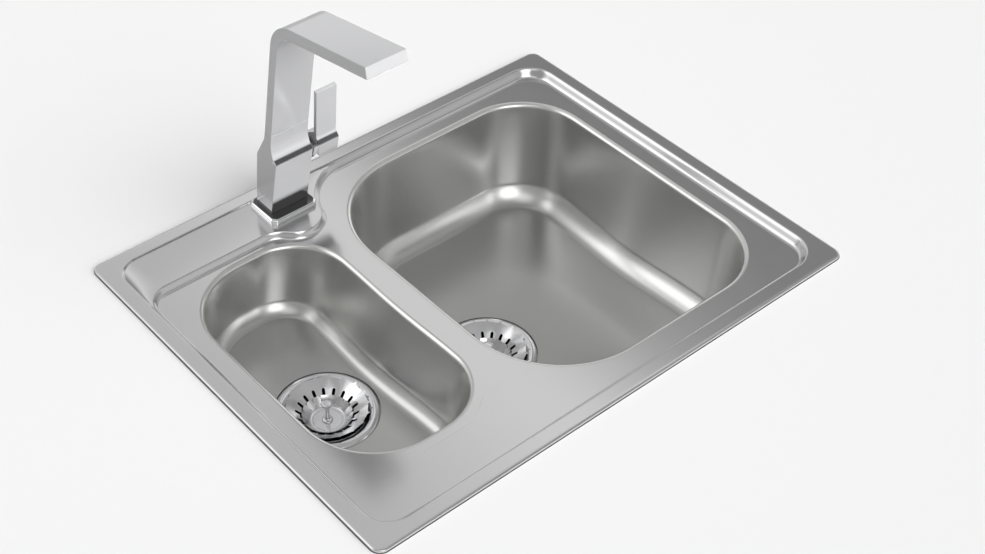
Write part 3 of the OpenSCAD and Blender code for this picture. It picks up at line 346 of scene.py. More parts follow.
bowlSheet = {"rough": 0.26, "spread": 0.02, "grain": (500, 500, 30), "depth": 2e-7}
polish = {"spread": 0.03, "grain": (900, 900, 900), "depth": 1e-6}
plated = {"spread": 0.02, "grain": (300, 300, 300), "depth": 2e-7}
# Painted shade: the waste cups' colour is darkened below the mouth
cupPaintedShade = {"worn": 0.05, "fade": 0.9}  # the waste cups are dark below the mouth
metals = {
    "deckSteel": steel((0.60, 0.64), 0, rough=0.16, spread=0.03, grain=(60, 2600, 2600), depth=8e-7),
    "bowlSteel": steel((0.60, 0.63), -0.01, **bowlSheet),
    # Painted shade: each bowl's colour darkens below its floor height
    "mainSteel": steel((0.64, 0.67), -0.01, **bowlSheet, floor=-149.0),
    "halfSteel": steel((0.60, 0.63), -0.01, **bowlSheet, floor=-93.0, worn=0.72),
    "polishedSteel": steel((0.66, 0.74), 0.01, **polish, rough=0.17),
    "mainFlange": steel((0.66, 0.74), 0.01, **polish, rough=0.15, floor=-152.2, **cupPaintedShade),
    "halfFlange": steel((0.66, 0.74), 0.01, **polish, rough=0.15, floor=-94.5, **cupPaintedShade),
    # Painted shade: the cartridge collar is coloured dark for the shaded slit between tap body and lever
    "collarPaintedShade": steel((0.16, 0.20), 0.01, **polish, rough=0.12),
    "chromePlate": steel((0.50, 0.52), 0.01, **plated, rough=0.06, metallic=0.32),
    "plateChrome": steel((0.72, 0.76), 0.01, **plated, rough=0.08, metallic=0.9),
    "tapChrome": steel((0.50, 0.52), 0.01, **plated, rough=0.06, metallic=0.22),
    "zincPlate": {"dark": (0.50, 0.52, 0.54), "light": (0.64, 0.66, 0.68), "rough": 0.34, "spread": 0.12,
                  "grain": (400, 400, 400), "depth": 8e-6, "cloud": 60.0},
    "brassBar": {"dark": (0.60, 0.47, 0.22), "light": (0.72, 0.58, 0.30), "rough": 0.25, "spread": 0.08,
                 "grain": (900, 900, 200), "depth": 4e-6},
}
plains = {
    "blackRubber": {"dark": (0.018, 0.018, 0.019), "light": (0.035, 0.035, 0.037), "rough": 0.62,
                    "grain": 350.0, "depth": 2e-5},
    "soundPad": {"dark": (0.030, 0.030, 0.032), "light": (0.055, 0.055, 0.058), "rough": 0.80,
                 "grain": 160.0, "depth": 1e-4},
    "whitePlastic": {"dark": (0.72, 0.72, 0.70), "light": (0.80, 0.80, 0.78), "rough": 0.42,
                     "grain": 120.0, "depth": 1e-5},
}
finishes = {name: metalFinish(name, **row) for name, row in metals.items()}
finishes.update({name: plainFinish(name, **row) for name, row in plains.items()})

# The tap mirrors more at its foot and in the crease of its front; the base plate's top is coloured dark, a
# painted reflection
tapShine = {"foot": (24, 34), "footShare": 0.75, "creaseStart": (86.2, 87.7), "creaseEnd": (91.0, 93.0),
            "creaseShare": 0.72, "front": (182.5, 184.5)}
platePaintedReflection = {"topEdge": (8.85, 8.97), "side": (0.74, 0.74, 0.75), "top": (0.10, 0.10, 0.10)}
tapTree = finishes["tapChrome"].node_tree
foot = axisStep(tapTree, "Z", tapShine["foot"], tapShine["footShare"], 0.0)
crease = (axisStep(tapTree, "Z", tapShine["creaseStart"], 0.0, tapShine["creaseShare"])
          - axisStep(tapTree, "Z", tapShine["creaseEnd"], 0.0, tapShine["creaseShare"]))
ahead = axisStep(tapTree, "Y", tapShine["front"], 1.0, 0.0)
tapMetal = tapTree.nodes["Principled BSDF"].inputs["Metallic"]
tapTree.links.new((foot + crease * ahead + metals["tapChrome"]["metallic"]).socket, tapMetal)
# Painted reflection: the plate's top is coloured near black above its top edge, its sides light
plateTree = finishes["plateChrome"].node_tree
platePaintedTone = mixedTone(plateTree, axisStep(plateTree, "Z", platePaintedReflection["topEdge"], 0.0, 1.0),
                      platePaintedReflection["side"], platePaintedReflection["top"])
plateTree.links.new(platePaintedTone.socket, plateTree.nodes["Principled BSDF"].inputs["Base Color"])
print("finishes made")


# Deck, pressed from one sheet; "guard" is a flat margin beside each slope, which keeps its shading flat
deck = {"halfLength": 325.0, "halfDepth": 250.0, "cornerRadius": 12.0, "rim": 17.0, "rimHeight": 4.0,
        "ledgeHeight": 2.0, "lowHeight": -6.0, "stepRun": 2.6, "slopeRun": 8.0, "innerRadius": 36.0,
        "backRadius": 28.0, "ledgeDepth": 53.0, "ledgeCorner": 31.0, "turnRadius": 42.0,
        "lobeRadius": 27.0, "lobeBack": 49.0, "sweepRadius": 72.0, "tapX": -100.0, "edgeRun": 3.6,
        "edgeFoot": 0.3, "edgeRise": 1.0, "edgeEase": 1.5, "sheet": 0.9, "guard": 0.8, "blend": 7.0,
        "partGap": 0.4, "cornerSteps": 16, "sweepSteps": 28, "lobeSteps": 36, "turnSteps": 14,
        "ledgeSteps": 24, "edgeSteps": 9, "stepSteps": 7, "dropSteps": 12, "sharp": 50.0}
recessX, recessY = deck["halfLength"] - deck["rim"], deck["halfDepth"] - deck["rim"]
ledgeY = recessY - deck["ledgeDepth"]
cornerAt = (-recessX + deck["ledgeCorner"], ledgeY - deck["ledgeCorner"])
lobeAt = (deck["tapX"], recessY - deck["lobeBack"])


def besideLobe(radius, y):
    # How far along X an arc's centre at a given y lies from the lobe's, so that the two arcs touch
    return math.sqrt((radius + deck["lobeRadius"]) ** 2 - (lobeAt[1] - y) ** 2)


def towardsLobe(centre):
    return math.degrees(math.atan2(lobeAt[1] - centre[1], lobeAt[0] - centre[0]))


turnY, sweepY = ledgeY - deck["turnRadius"], recessY - deck["sweepRadius"]
turnAt = (lobeAt[0] - besideLobe(deck["turnRadius"], turnY), turnY)
sweepAt = (lobeAt[0] + besideLobe(deck["sweepRadius"], sweepY), sweepY)
turnAngle, sweepAngle = towardsLobe(turnAt), towardsLobe(sweepAt)


def lowRing(s):
    # Lower deck's outline drawn in by s: three plain corners, and the S-curve round the tap
    r, n = deck["innerRadius"] - s, deck["cornerSteps"]
    cx, cy = recessX - deck["innerRadius"], recessY - deck["innerRadius"]
    lobe = arcOf(lobeAt, deck["lobeRadius"] + s, sweepAngle - 180, turnAngle - 180, deck["lobeSteps"])
    return np.concatenate([
        arcOf((cx, -cy), r, -90, 0, n), arcOf((cx, cy), r, 0, 90, n),
        arcOf(sweepAt, deck["sweepRadius"] - s, 90, sweepAngle, deck["sweepSteps"]),
        lobe[1:-1],
        arcOf(turnAt, deck["turnRadius"] - s, turnAngle, 90, deck["turnSteps"]),
        arcOf(cornerAt, deck["ledgeCorner"] - s, 90, 180, deck["ledgeSteps"]),
        arcOf((-cx, -cy), r, 180, 270, n)])


lowLine = lowRing(0.0)
backFirst = 2 * (deck["cornerSteps"] + 1)
backCount = deck["sweepSteps"] + deck["lobeSteps"] + deck["turnSteps"] + 1
backX = lowLine[backFirst:backFirst + backCount, 0]


def outerRing(s, halfX, halfY, radius, backRadius):
    # Rounded rectangle drawn in by s, with its points shared out as the lower deck's are
    r, b, n, half = radius - s, backRadius - s, deck["cornerSteps"], deck["ledgeSteps"] // 2
    cx, cy, bx, by = halfX - radius, halfY - radius, halfX - backRadius, halfY - backRadius
    side = mix(recessY - deck["backRadius"], cornerAt[1], np.arange(1, half + 1) / half)
    return np.concatenate([
        arcOf((cx, -cy), r, -90, 0, n), arcOf((cx, cy), r, 0, 90, n),
        np.column_stack([backX, np.full(len(backX), halfY - s)]),
        arcOf((-bx, by), b, 90, 180, half),
        np.column_stack([np.full(half, -halfX + s), side]),
        arcOf((-cx, -cy), r, 180, 270, n)])


def rimRing(s):
    return outerRing(s, recessX, recessY, deck["innerRadius"], deck["backRadius"])


def edgeRing(s):
    return outerRing(s, deck["halfLength"], deck["halfDepth"], deck["cornerRadius"], deck["cornerRadius"])


ledgePart = np.minimum(1.0, np.linalg.norm(lowLine - rimRing(0.0), axis=1) / deck["blend"])


def slopeHeight(s, onLedge):
    # Height s inside the rim's edge: one slope to the lower deck, or on the ledge a step and a drop
    plain = mix(deck["rimHeight"], deck["lowHeight"], ease(s / deck["slopeRun"]))
    if onLedge:
        drop = mix(deck["ledgeHeight"], deck["lowHeight"],
                   ease((s - deck["stepRun"]) / (deck["slopeRun"] - deck["stepRun"])))
    else:
        drop = mix(deck["rimHeight"], deck["ledgeHeight"], ease(s / deck["stepRun"]))
    return mix(plain, drop, ledgePart)


deckRings = [raised(edgeRing(0.0), deck["edgeFoot"])]
for a in np.radians(np.linspace(90, 0, deck["edgeSteps"])):  # rolled outer edge
    deckRings.append(raised(edgeRing(deck["edgeRun"] * (1 - math.sin(a)) ** deck["edgeEase"]),
                            mix(deck["edgeFoot"] + deck["edgeRise"], deck["rimHeight"], math.cos(a))))
deckRings.append(raised(edgeRing(deck["edgeRun"] + deck["guard"]), deck["rimHeight"]))
deckRings.append(raised(rimRing(-deck["guard"]), deck["rimHeight"]))
for s in np.linspace(0.0, deck["stepRun"], deck["stepSteps"]):
    deckRings.append(raised(rimRing(s), slopeHeight(s, False)))
dropRuns = np.linspace(deck["stepRun"] + deck["partGap"], deck["slopeRun"], deck["dropSteps"])
for s in [*dropRuns, deck["slopeRun"] + deck["guard"]]:
    deckRings.append(raised(lowRing(s), slopeHeight(s, True)))


# Bowls; four numbers go round as left, right, front and back
bowlSteps = {"corner": 22, "side": 24, "roll": 10, "rollEase": 1.5, "wall": 10, "fillet": 18, "floor": 8}
bowls = {
    "main": {"sides": (-69.0, 280.0, -202.0, 208.0), "radii": (120.0, 86.0), "depth": 142.0,
             "draft": (4.0, 4.0, 4.0, 4.0), "fillet": 26.0, "width": (26.0, 26.0, 26.0, 26.0),
             "waste": (29.0, -6.0), "fall": 3.0, "topBow": 0.0, "footBow": 6.0, "roll": 6.0,
             "wallTurn": 0.11, "bandAngles": (58.0, 30.0)},
    "half": {"sides": (-281.5, -96.0, -165.0, 168.0), "radii": (88.0, 72.0), "depth": 86.5,
             "draft": (1.0, 18.0, 3.0, 3.0), "fillet": 16.5, "width": (14.0, 16.5, 16.5, 16.5),
             "waste": (-202.0, -6.0), "fall": 0.8, "topBow": 2.0, "footBow": 4.0, "roll": 6.0,
             "wallTurn": 0.13, "bandAngles": (56.0, 28.0)},
}
seat = {"radius": 57.8, "taper": 0.3, "land": 4.0, "depth": 1.9, "hole": 45.0, "leastFloor": 0.2,
        "leastLand": 0.1, "run": 60.0}
band = {"wallAngle": 86.0, "end": 0.72, "samples": 400, "turnPart": 0.3, "turnReach": 1.3}


def bowlOutline(bowl, inset, bow):
    # Rounded rectangle, each side drawn in by its own amount, the right side bowed in like a
    # raised cosine
    x0, x1, y0, y1 = np.asarray(bowl["sides"]) + np.asarray(inset) * (1, -1, 1, -1)
    left, right, front, back = inset
    atLeft, atRight = bowl["radii"]
    r00, r10 = atLeft - (left + front) / 2, atRight - (right + front) / 2
    r11, r01 = atRight - (right + back) / 2, atLeft - (left + back) / 2
    n, u = bowlSteps["corner"], (np.arange(1, bowlSteps["side"]) / bowlSteps["side"])[:, None]

    def side(p, q, push=0.0):
        inward = np.array([push, 0.0]) * (1 - np.cos(2 * math.pi * u)) / 2
        return mix(np.asarray(p), np.asarray(q), u) - inward
    return np.concatenate([
        arcOf((x1 - r10, y0 + r10), r10, -90, 0, n), side((x1, y0 + r10), (x1, y1 - r11), bow),
        arcOf((x1 - r11, y1 - r11), r11, 0, 90, n), side((x1 - r11, y1), (x0 + r01, y1)),
        arcOf((x0 + r01, y1 - r01), r01, 90, 180, n), side((x0, y1 - r01), (x0, y0 + r00)),
        arcOf((x0 + r00, y0 + r00), r00, 180, 270, n), side((x0 + r00, y0), (x1 - r10, y0))])


def bandShape(bowl):
    # Fillet from wall to floor as shares of its width and height: a tight bend, a band, an easy bend.
    # Its steepness runs straight between four places, and its path is the running sum of cos and sin
    keys = [0.0, bowl["wallTurn"], band["end"], 1.0]
    u = np.linspace(0.0, 1.0, band["samples"])
    steep = np.radians(np.interp(u, keys, [band["wallAngle"], *bowl["bandAngles"], 0.0]))
    middle = (steep[1:] + steep[:-1]) / 2
    across = np.concatenate([[0.0], np.cumsum(np.cos(middle))])
    down = np.concatenate([[0.0], np.cumsum(np.sin(middle))])
    pick = np.interp(np.linspace(0, 1, bowlSteps["fillet"] + 1), [0, band["turnPart"], 1],
                     [0, bowl["wallTurn"] * band["turnReach"], 1])
    return np.interp(pick, u, across / across[-1]), np.interp(pick, u, down / down[-1])


def drainHeight(bowl):
    return deck["lowHeight"] - bowl["depth"] - bowl["fall"]


def bowlRings(bowl):
    # Rings of one outline drawn in step by step: rolled edge, wall, fillet, floor, the waste's seat
    low, roll, width = deck["lowHeight"], bowl["roll"], np.asarray(bowl["width"])
    draft = np.radians(bowl["draft"])
    floor, centre = low - bowl["depth"], np.asarray(bowl["waste"])
    rings = []
    for u in np.linspace(0, 1, bowlSteps["roll"] + 1) ** bowlSteps["rollEase"]:  # rolled edge
        inset = roll * np.sin(u * (math.pi / 2 - draft))
        rings.append(raised(bowlOutline(bowl, inset, bowl["topBow"]),
                            low - roll + roll * math.cos(u * (math.pi / 2 - draft.min()))))
    lip, footHeight = rings[-1][0, 2], floor + bowl["fillet"]
    lipInset = roll * np.cos(draft)
    footInset = roll + (bowl["depth"] - roll - bowl["fillet"]) * np.tan(draft)
    for t in np.linspace(0, 1, bowlSteps["wall"] + 1)[1:]:  # wall
        outline = bowlOutline(bowl, mix(lipInset, footInset, t), mix(bowl["topBow"], bowl["footBow"], t))
        rings.append(raised(outline, mix(lip, footHeight, t)))
    foot = bowlOutline(bowl, footInset + width, bowl["footBow"])
    reach = np.linalg.norm(foot - centre, axis=1)
    sink = bowl["fall"] * (1 - ease((reach - seat["radius"]) / seat["run"]))
    for across, down in list(zip(*bandShape(bowl)))[1:]:  # fillet
        rings.append(raised(bowlOutline(bowl, footInset + width * across, bowl["footBow"]),
                            footHeight - bowl["fillet"] * down - sink * down ** 2))
    drain = drainHeight(bowl)

    def drainRing(radius, height, room):  # circle round the waste, kept inside the floor's outline
        near = np.minimum(radius, reach - room) / reach
        return raised(centre + (foot - centre) * near[:, None], height)
    edge = raised(foot, floor - sink)
    land = drainRing(seat["radius"] + seat["land"], drain, seat["leastFloor"])
    rings += [mix(edge, land, t) for t in np.linspace(0, 1, bowlSteps["floor"] + 1)[1:]]  # floor
    room = seat["leastFloor"] + seat["leastLand"]
    rings += [drainRing(seat["radius"], drain, room),
              drainRing(seat["radius"] - seat["taper"], drain - seat["depth"], room),
              drainRing(seat["hole"], drain - seat["depth"], 0.0)]
    return np.stack(rings)


for name, bowl in bowls.items():
    rings = bowlRings(bowl)
    around = raised(bowlOutline(bowl, [-deck["guard"]] * 4, bowl["topBow"]), deck["lowHeight"])
    bowl["mouth"] = np.stack([around, rings[0]])
    piece = addPiece(name + "Bowl", [(rings, stripFaces(*rings.shape[:2]))], "sink",
                     finishes[name + "Steel"], [name + "_bowl"], sharp=deck["sharp"])
    thicken(piece, deck["sheet"])
print("bowls made")


def flatLand(outer, holes, height, lines=()):
    # Flat sheet between an outline and the holes in it, as triangles; each line of points
    # inside it carries its own lift above the sheet
    loops = [outer, *holes]
    edges, start = [], 0
    for loop in loops:
        edges += [(start + k, start + (k + 1) % len(loop)) for k in range(len(loop))]
        start += len(loop)
    for line in lines:
        edges += [(start + k, start + k + 1) for k in range(len(line) - 1)]
        start += len(line)
    flat = np.concatenate([*loops, *[line[:, :2] for line in lines]])
    lift = np.concatenate([np.zeros(sum(len(loop) for loop in loops)), *[line[:, 2] for line in lines]])
    verts, _, faces, origin, *_ = delaunay_2d_cdt([Vector(p) for p in flat], edges, [], 0, 1e-6)
    points = np.array([[v.x, v.y] for v in verts])
    height = height + np.array([lift[o[0]] if o else 0.0 for o in origin])
    faces = np.array(faces)
    middle = points[faces].mean(1)

    def inside(loop):  # even number of crossings is outside
        a, b = loop, np.roll(loop, -1, 0)
        between = (a[None, :, 1] > middle[:, 1:]) != (b[None, :, 1] > middle[:, 1:])
        rise = np.where(b[:, 1] == a[:, 1], 1.0, b[:, 1] - a[:, 1])
        at = a[None, :, 0] + (middle[:, 1:] - a[None, :, 1]) * (b[:, 0] - a[:, 0]) / rise
        return ((between & (middle[:, :1] < at)).sum(1) % 2).astype(bool)
    keep = inside(outer)
    for hole in holes:
        keep &= ~inside(hole)
    return raised(points, height), faces[keep].tolist()


# Faint raised line in front of the bowls
bead = {"from": (-262.0, -172.4), "turn": (-150.0, -173.2), "over": (-128.0, -173.4),
        "back": (-121.0, -152.6), "rest": (-102.0, -152.8), "to": (-84.0, -155.6), "width": 0.9,
        "lift": 0.16, "steps": 24, "endSteps": 5, "endPace": 4.8, "fadeIn": 130, "fadeOut": 26}


def beadLines():
    # A straight, a cubic curve with four control points, and a short straight; the middle
    # line is lifted, and the lift fades in along the straight and out at the end
    u = np.linspace(0, 1, bead["steps"] + 1)[:, None]
    p, q, r, t = (np.array(bead[k]) for k in ("turn", "over", "back", "rest"))
    bend = (1 - u) ** 3 * p + 3 * (1 - u) ** 2 * u * q + 3 * (1 - u) * u ** 2 * r + u ** 3 * t
    lead = mix(np.array(bead["from"]), p, u[:-1])
    end = mix(t, np.array(bead["to"]), u[1:bead["endSteps"] + 1] * bead["endPace"])
    path = np.concatenate([lead, bend, end])
    along = np.gradient(path, axis=0)
    across = np.column_stack([-along[:, 1], along[:, 0]]) / np.linalg.norm(along, axis=1)[:, None]
    x = path[:, 0]
    lift = bead["lift"] * ease((x - x[0]) / bead["fadeIn"]) * ease((x[-1] - x) / bead["fadeOut"])
    return [np.column_stack([path + across * bead["width"] * k, lift if k == 0 else 0 * lift])
            for k in (-2, -1, 0, 1, 2)]


deckGrid = np.stack(deckRings)
mouths = [bowl["mouth"] for bowl in bowls.values()]
deckPiece = addPiece("deckPanel", [
    (deckGrid, stripFaces(*deckGrid.shape[:2])),
    *[(mouth, stripFaces(*mouth.shape[:2])) for mouth in mouths],
    flatLand(deckGrid[-1][:, :2], [mouth[0][:, :2] for mouth in mouths], deck["lowHeight"], beadLines()),
], "sink", finishes["deckSteel"], ["deck_panel"], sharp=deck["sharp"])
thicken(deckPiece, deck["sheet"])
print("deck made")


# Wastes with their baskets
waste = {"flangeRadius": 57.0, "crown": 2.6, "crownSkew": 0.85, "crownEnd": 0.6, "crownSteps": 26,
         "under": -1.1, "edge": 0.7, "mouth": 0.4, "neck": 44.5, "cupRadius": 43.4, "cupDepth": 22.0,
         "cupWall": 0.9, "screwHole": 3.4, "turns": 144}
basket = {"rim": 39.0, "coneTop": 36.0, "coneDrop": 0.5, "coneFoot": 20.5, "footRise": 1.6,
          "dish": 18.5, "groove": (15.2, 16.2, 0.25), "top": 0.6, "depth": 14.5, "slots": 18,
          "slotWidth": 3.6, "slotFrom": 22.9, "slotTo": 33.2, "sheet": 0.8, "across": 8, "along": 10,
          "layers": 3, "sharp": 45.0}
knob = {"height": 26.0, "radius": 6.0, "post": 2.5, "axis": 0.01, "nut": 4.0, "nutFoot": -2.2,
        "nutTop": -0.8, "turns": 48}


def flangeProfile():
    # Crown as a skewed sine from the outer edge to the cup's mouth, then the cup, then back underneath
    u = np.linspace(0, 1, waste["crownSteps"])
    c, d, w, under = (waste[k] for k in ("cupRadius", "cupDepth", "cupWall", "under"))
    lift = waste["crown"] - under - waste["edge"]
    arch = lift * np.sin(np.pi * u ** waste["crownSkew"]) + waste["crownEnd"] * u
    radius = mix(waste["flangeRadius"], c + waste["mouth"], u)
    crown = np.column_stack([radius, under + waste["edge"] + arch])
    cup = [[c, -2], [c - 0.6, -6], [c - 2, -d + 6], [c - 3.4, -d + 3.2], [c - 5.5, -d + 1.2], [c - 8, -d],
           [waste["screwHole"], -d], [waste["screwHole"], -d - w], [c - 7.6, -d - w], [c - 4.9, -d + 0.2],
           [c - 2.5, -d + 2.8], [c - 1, -d + 5.6], [c + w, -3], [waste["neck"], under],
           [waste["flangeRadius"], under]]
    return np.concatenate([crown, cup])


def coneHeight(r):
    top, foot = basket["top"] - basket["coneDrop"], basket["top"] - basket["depth"] + basket["footRise"]
    return mix(foot, top, (r - basket["coneFoot"]) / (basket["coneTop"] - basket["coneFoot"]))


def rimProfile():
    # Rolled rim, from its outer foot over the top to the cone
    r, top = basket["rim"], basket["top"]
    return [[r, top - 1.8], [r, top - 0.9], [r - 0.15, top - 0.45], [r - 0.5, top - 0.12], [r - 1, top],
            [r - 1.8, top + 0.05], [r - 2.4, top - 0.08], [r - 2.8, top - 0.28],
            [basket["coneTop"], top - basket["coneDrop"]]]


def dishProfile():
    # Rounded foot of the cone, then the flat dish with a fine groove
    foot, dish, z = basket["coneFoot"], basket["dish"], basket["top"] - basket["depth"]
    inner, outer, deep = basket["groove"]
    return [[foot, coneHeight(foot)], [foot - 0.5, z + 1.05], [foot - 1.1, z + 0.45], [dish, z + 0.12],
            [dish - 0.8, z], [outer, z], [outer - 0.3, z - deep], [inner + 0.3, z - deep], [inner, z],
            [8, z], [2.6, z]]


def knobProfile():
    # Head, rounded over the top to the axis, then the nut under the dish, and the collar on the dish
    h, r, p = knob["height"], knob["radius"], knob["post"]
    return [[p, h - 4], [r - 1.2, h - 3.8], [r - 0.4, h - 3.4], [r, h - 2.7], [r, h - 1.3],
            [r - 0.35, h - 0.55], [r - 1.2, h - 0.1], [r - 2.4, h], [knob["axis"], h],
            [knob["axis"], knob["nutFoot"]], [knob["nut"], knob["nutFoot"]], [knob["nut"], knob["nutTop"]],
            [p, knob["nutTop"]], [p, 0], [r, 0], [r, 1.1], [r - 0.4, 1.7], [r - 1.4, 2.1], [p + 0.7, 2.4],
            [p, 3.2]]


def slottedCone(centre):
    # One sector per slot: a grid from the sector's edge to the rounded slot, turned round the axis
    across, along, half = basket["across"], basket["along"], math.pi / basket["slots"]
    foot, top = basket["coneFoot"], basket["coneTop"]
    start, end, w = basket["slotFrom"], basket["slotTo"], basket["slotWidth"] / 2
    wide, tall = np.linspace(-1, 1, across + 1)[:-1], np.linspace(0, 1, along + 1)[:-1]
    lowEdge = np.column_stack([np.full(across, foot), wide * half])
    rightEdge = np.column_stack([mix(foot, top, tall), np.full(along, half)])
    topEdge = np.column_stack([np.full(across, top), -wide * half])
    leftEdge = np.column_stack([mix(top, foot, tall), np.full(along, -half)])
    edge = np.concatenate([lowEdge, rightEdge, topEdge, leftEdge])
    edge = np.column_stack([edge[:, 0] * np.cos(edge[:, 1]), edge[:, 0] * np.sin(edge[:, 1])])
    turn = np.pi / 2 * wide
    slot = np.concatenate([
        np.column_stack([start - w * np.cos(turn), w * np.sin(turn)]),
        np.column_stack([mix(start, end, tall), np.full(along, w)]),
        np.column_stack([end + w * np.cos(turn), -w * np.sin(turn)]),
        np.column_stack([mix(end, start, tall), np.full(along, -w)])])
    rings = np.stack([mix(edge, slot, t) for t in np.linspace(0, 1, basket["layers"] + 1)])
    parts = []
    for k in range(basket["slots"]):
        a = 2 * half * k
        x = rings[..., 0] * math.cos(a) - rings[..., 1] * math.sin(a)
        y = rings[..., 0] * math.sin(a) + rings[..., 1] * math.cos(a)
        sector = np.stack([x + centre[0], y + centre[1], coneHeight(np.hypot(x, y)) + centre[2]], -1)
        parts.append((sector, stripFaces(*rings.shape[:2])))
    return parts


for name, bowl in bowls.items():
    centre = (*bowl["waste"], drainHeight(bowl))
    addPiece(name + "WasteFlange", [revolved(flangeProfile(), waste["turns"], centre)], "sink",
             finishes[name + "Flange"], [name + "_waste_flange"])
    rimPart = revolved(rimProfile(), waste["turns"], centre, closed=False)
    dish = revolved(dishProfile(), waste["turns"], centre, closed=False)
    piece = addPiece(name + "Basket", [rimPart, *slottedCone(centre), dish], name + "_strainer",
                     finishes["polishedSteel"], [name + "_basket"],
                     sharp=basket["sharp"])
    thicken(piece, basket["sheet"])
    dishAt = (*centre[:2], centre[2] + basket["top"] - basket["depth"])
    addPiece(name + "BasketKnob", [revolved(knobProfile(), knob["turns"], dishAt)],
             name + "_strainer", finishes["polishedSteel"], [name + "_basket_knob"])
print("wastes made")


# Tap
tap = {"x": -100.0, "width": 50.0, "baseTop": 9.0, "baseWidth": 62.0, "baseDepth": 50.0, "baseY": 205.0,
       "baseCorner": 5.0, "baseRound": 2.6, "baseSharp": 22.0, "seam": (188.5, 125.0), "lean": 10.0,
       "thick": 11.6, "column": 122.0, "bend": 38.0, "bendSteps": 33, "rise": 10.0, "arm": 124.0,
       "armExtra": 0.9, "gap": 0.3, "edge": 0.7, "sharp": 28.0}
tapSides = (tap["x"] - tap["width"] / 2, tap["x"] + tap["width"] / 2)
lean, rise = math.radians(tap["lean"]), math.radians(tap["rise"])
columnUp = np.array([-math.sin(lean), math.cos(lean)])
columnBack = np.array([math.cos(lean), math.sin(lean)])
armOut = np.array([-math.cos(rise), math.sin(rise)])
armUp = np.array([math.sin(rise), math.cos(rise)])


def onColumn(along, across):
    return np.asarray(tap["seam"]) + along * columnUp + across * columnBack


def withRadius(point, radius):
    return (float(point[0]), float(point[1]), radius)


half, gap = tap["thick"] / 2, tap["gap"] / 2
bodyOutline = rounded([
    (193.0, tap["baseTop"], 0), (186.1, 43.0, 200), (180.6, 71.0, 90), (177.2, 87.6, 0.9), (182.6, 93.6, 7),
    withRadius(onColumn(-19, -half - 0.3), 30), withRadius(onColumn(-gap, -half), 0),
    withRadius(onColumn(-gap, half), 0), withRadius(onColumn(-13, half + 0.4), 24),
    withRadius(onColumn(-23, half + 4), 9), (209.2, 91.4, 2.5), (213.0, 84.4, 9), (216.6, 55.0, 200),
    (221.0, tap["baseTop"], 0)], 10)
piece = addPiece("tapBody", [sidePrism(bodyOutline[::-1], *tapSides)], "sink",
                 finishes["tapChrome"], ["tap_body"], sharp=tap["sharp"])
roundEdges(piece, tap["edge"])

bendAt = onColumn(tap["column"], -tap["bend"])
armHalf = half + tap["armExtra"]
armTip = bendAt + tap["bend"] * armUp + tap["arm"] * armOut


def bendArc(side):
    # Round the bend's centre, the bar's half thickness easing from the column's to the arm's
    u = np.linspace(0, 1, tap["bendSteps"])
    a = np.radians(mix(tap["lean"], 90 - tap["rise"], u))
    r = tap["bend"] + side * mix(half, armHalf, u)
    return np.column_stack([bendAt[0] + r * np.cos(a), bendAt[1] + r * np.sin(a)])


spoutOutline = np.concatenate([
    onColumn(gap, half)[None], bendArc(1), (armTip + armHalf * armUp)[None],
    (armTip - armHalf * armUp)[None], bendArc(-1)[::-1], onColumn(gap, -half)[None]])
piece = addPiece("tapSpout", [sidePrism(spoutOutline, *tapSides)], "spout",
                 finishes["tapChrome"], ["tap_spout"], sharp=tap["sharp"])
roundEdges(piece, tap["edge"])

# Base plate: octagon with softened corners, its sides upright and its top edge chamfered, as insets
# and heights
baseLevels = [(0.0, 2.0), (0.0, 6.6), (0.15, 7.1), (0.5, 7.6), (1.5, 8.6), (1.9, 8.9), (2.5, tap["baseTop"])]


def baseRing(inset):
    x, y, c = tap["baseWidth"] / 2 - inset, tap["baseDepth"] / 2 - inset, tap["baseCorner"]
    corners = [(x - c, -y), (x, -y + c), (x, y - c), (x - c, y), (-x + c, y), (-x, y - c), (-x, -y + c),
               (-x + c, -y)]
    return rounded([(*corner, tap["baseRound"]) for corner in corners], 5) + (tap["x"], tap["baseY"])


rings = np.stack([raised(baseRing(inset), z) for inset, z in baseLevels])
levels, count = rings.shape[:2]
last = (levels - 1) * count
caps = [list(range(last, last + count)), list(range(count))[::-1]]
addPiece("tapBasePlate", [(rings, stripFaces(levels, count) + caps)], "sink",
         finishes["plateChrome"], ["tap_base_plate"], sharp=tap["baseSharp"])

lever = {"x0": -66.5, "x1": -39.5, "skirt": -73.0, "hubAt": (197.0, 76.0), "hub": 15.5,
         "hubArc": (62, -92), "hubSteps": 26, "tip": (178.0, 157.0), "thick": 4.5, "tipRise": 1.0,
         "lift": 20.0, "edge": 0.6}
tipY, tipZ = lever["tip"]
leverOutline = np.concatenate([rounded([
    (184.6, 62.0, 2), (180.6, 71.0, 90), (177.2, 87.6, 0.9), (182.4, 93.6, 6), (181.9, 101.0, 30),
    (tipY, tipZ, 0.8), (tipY + lever["thick"], tipZ + lever["tipRise"], 0.8), (186.4, 101.5, 22)], 8),
    arcOf(lever["hubAt"], lever["hub"], *lever["hubArc"], lever["hubSteps"])])
skirtOutline = rounded([(181.0, 74.0, 0.5), (177.2, 87.6, 0.9), (182.4, 87.0, 1), (183.0, 74.0, 0.5)], 4)


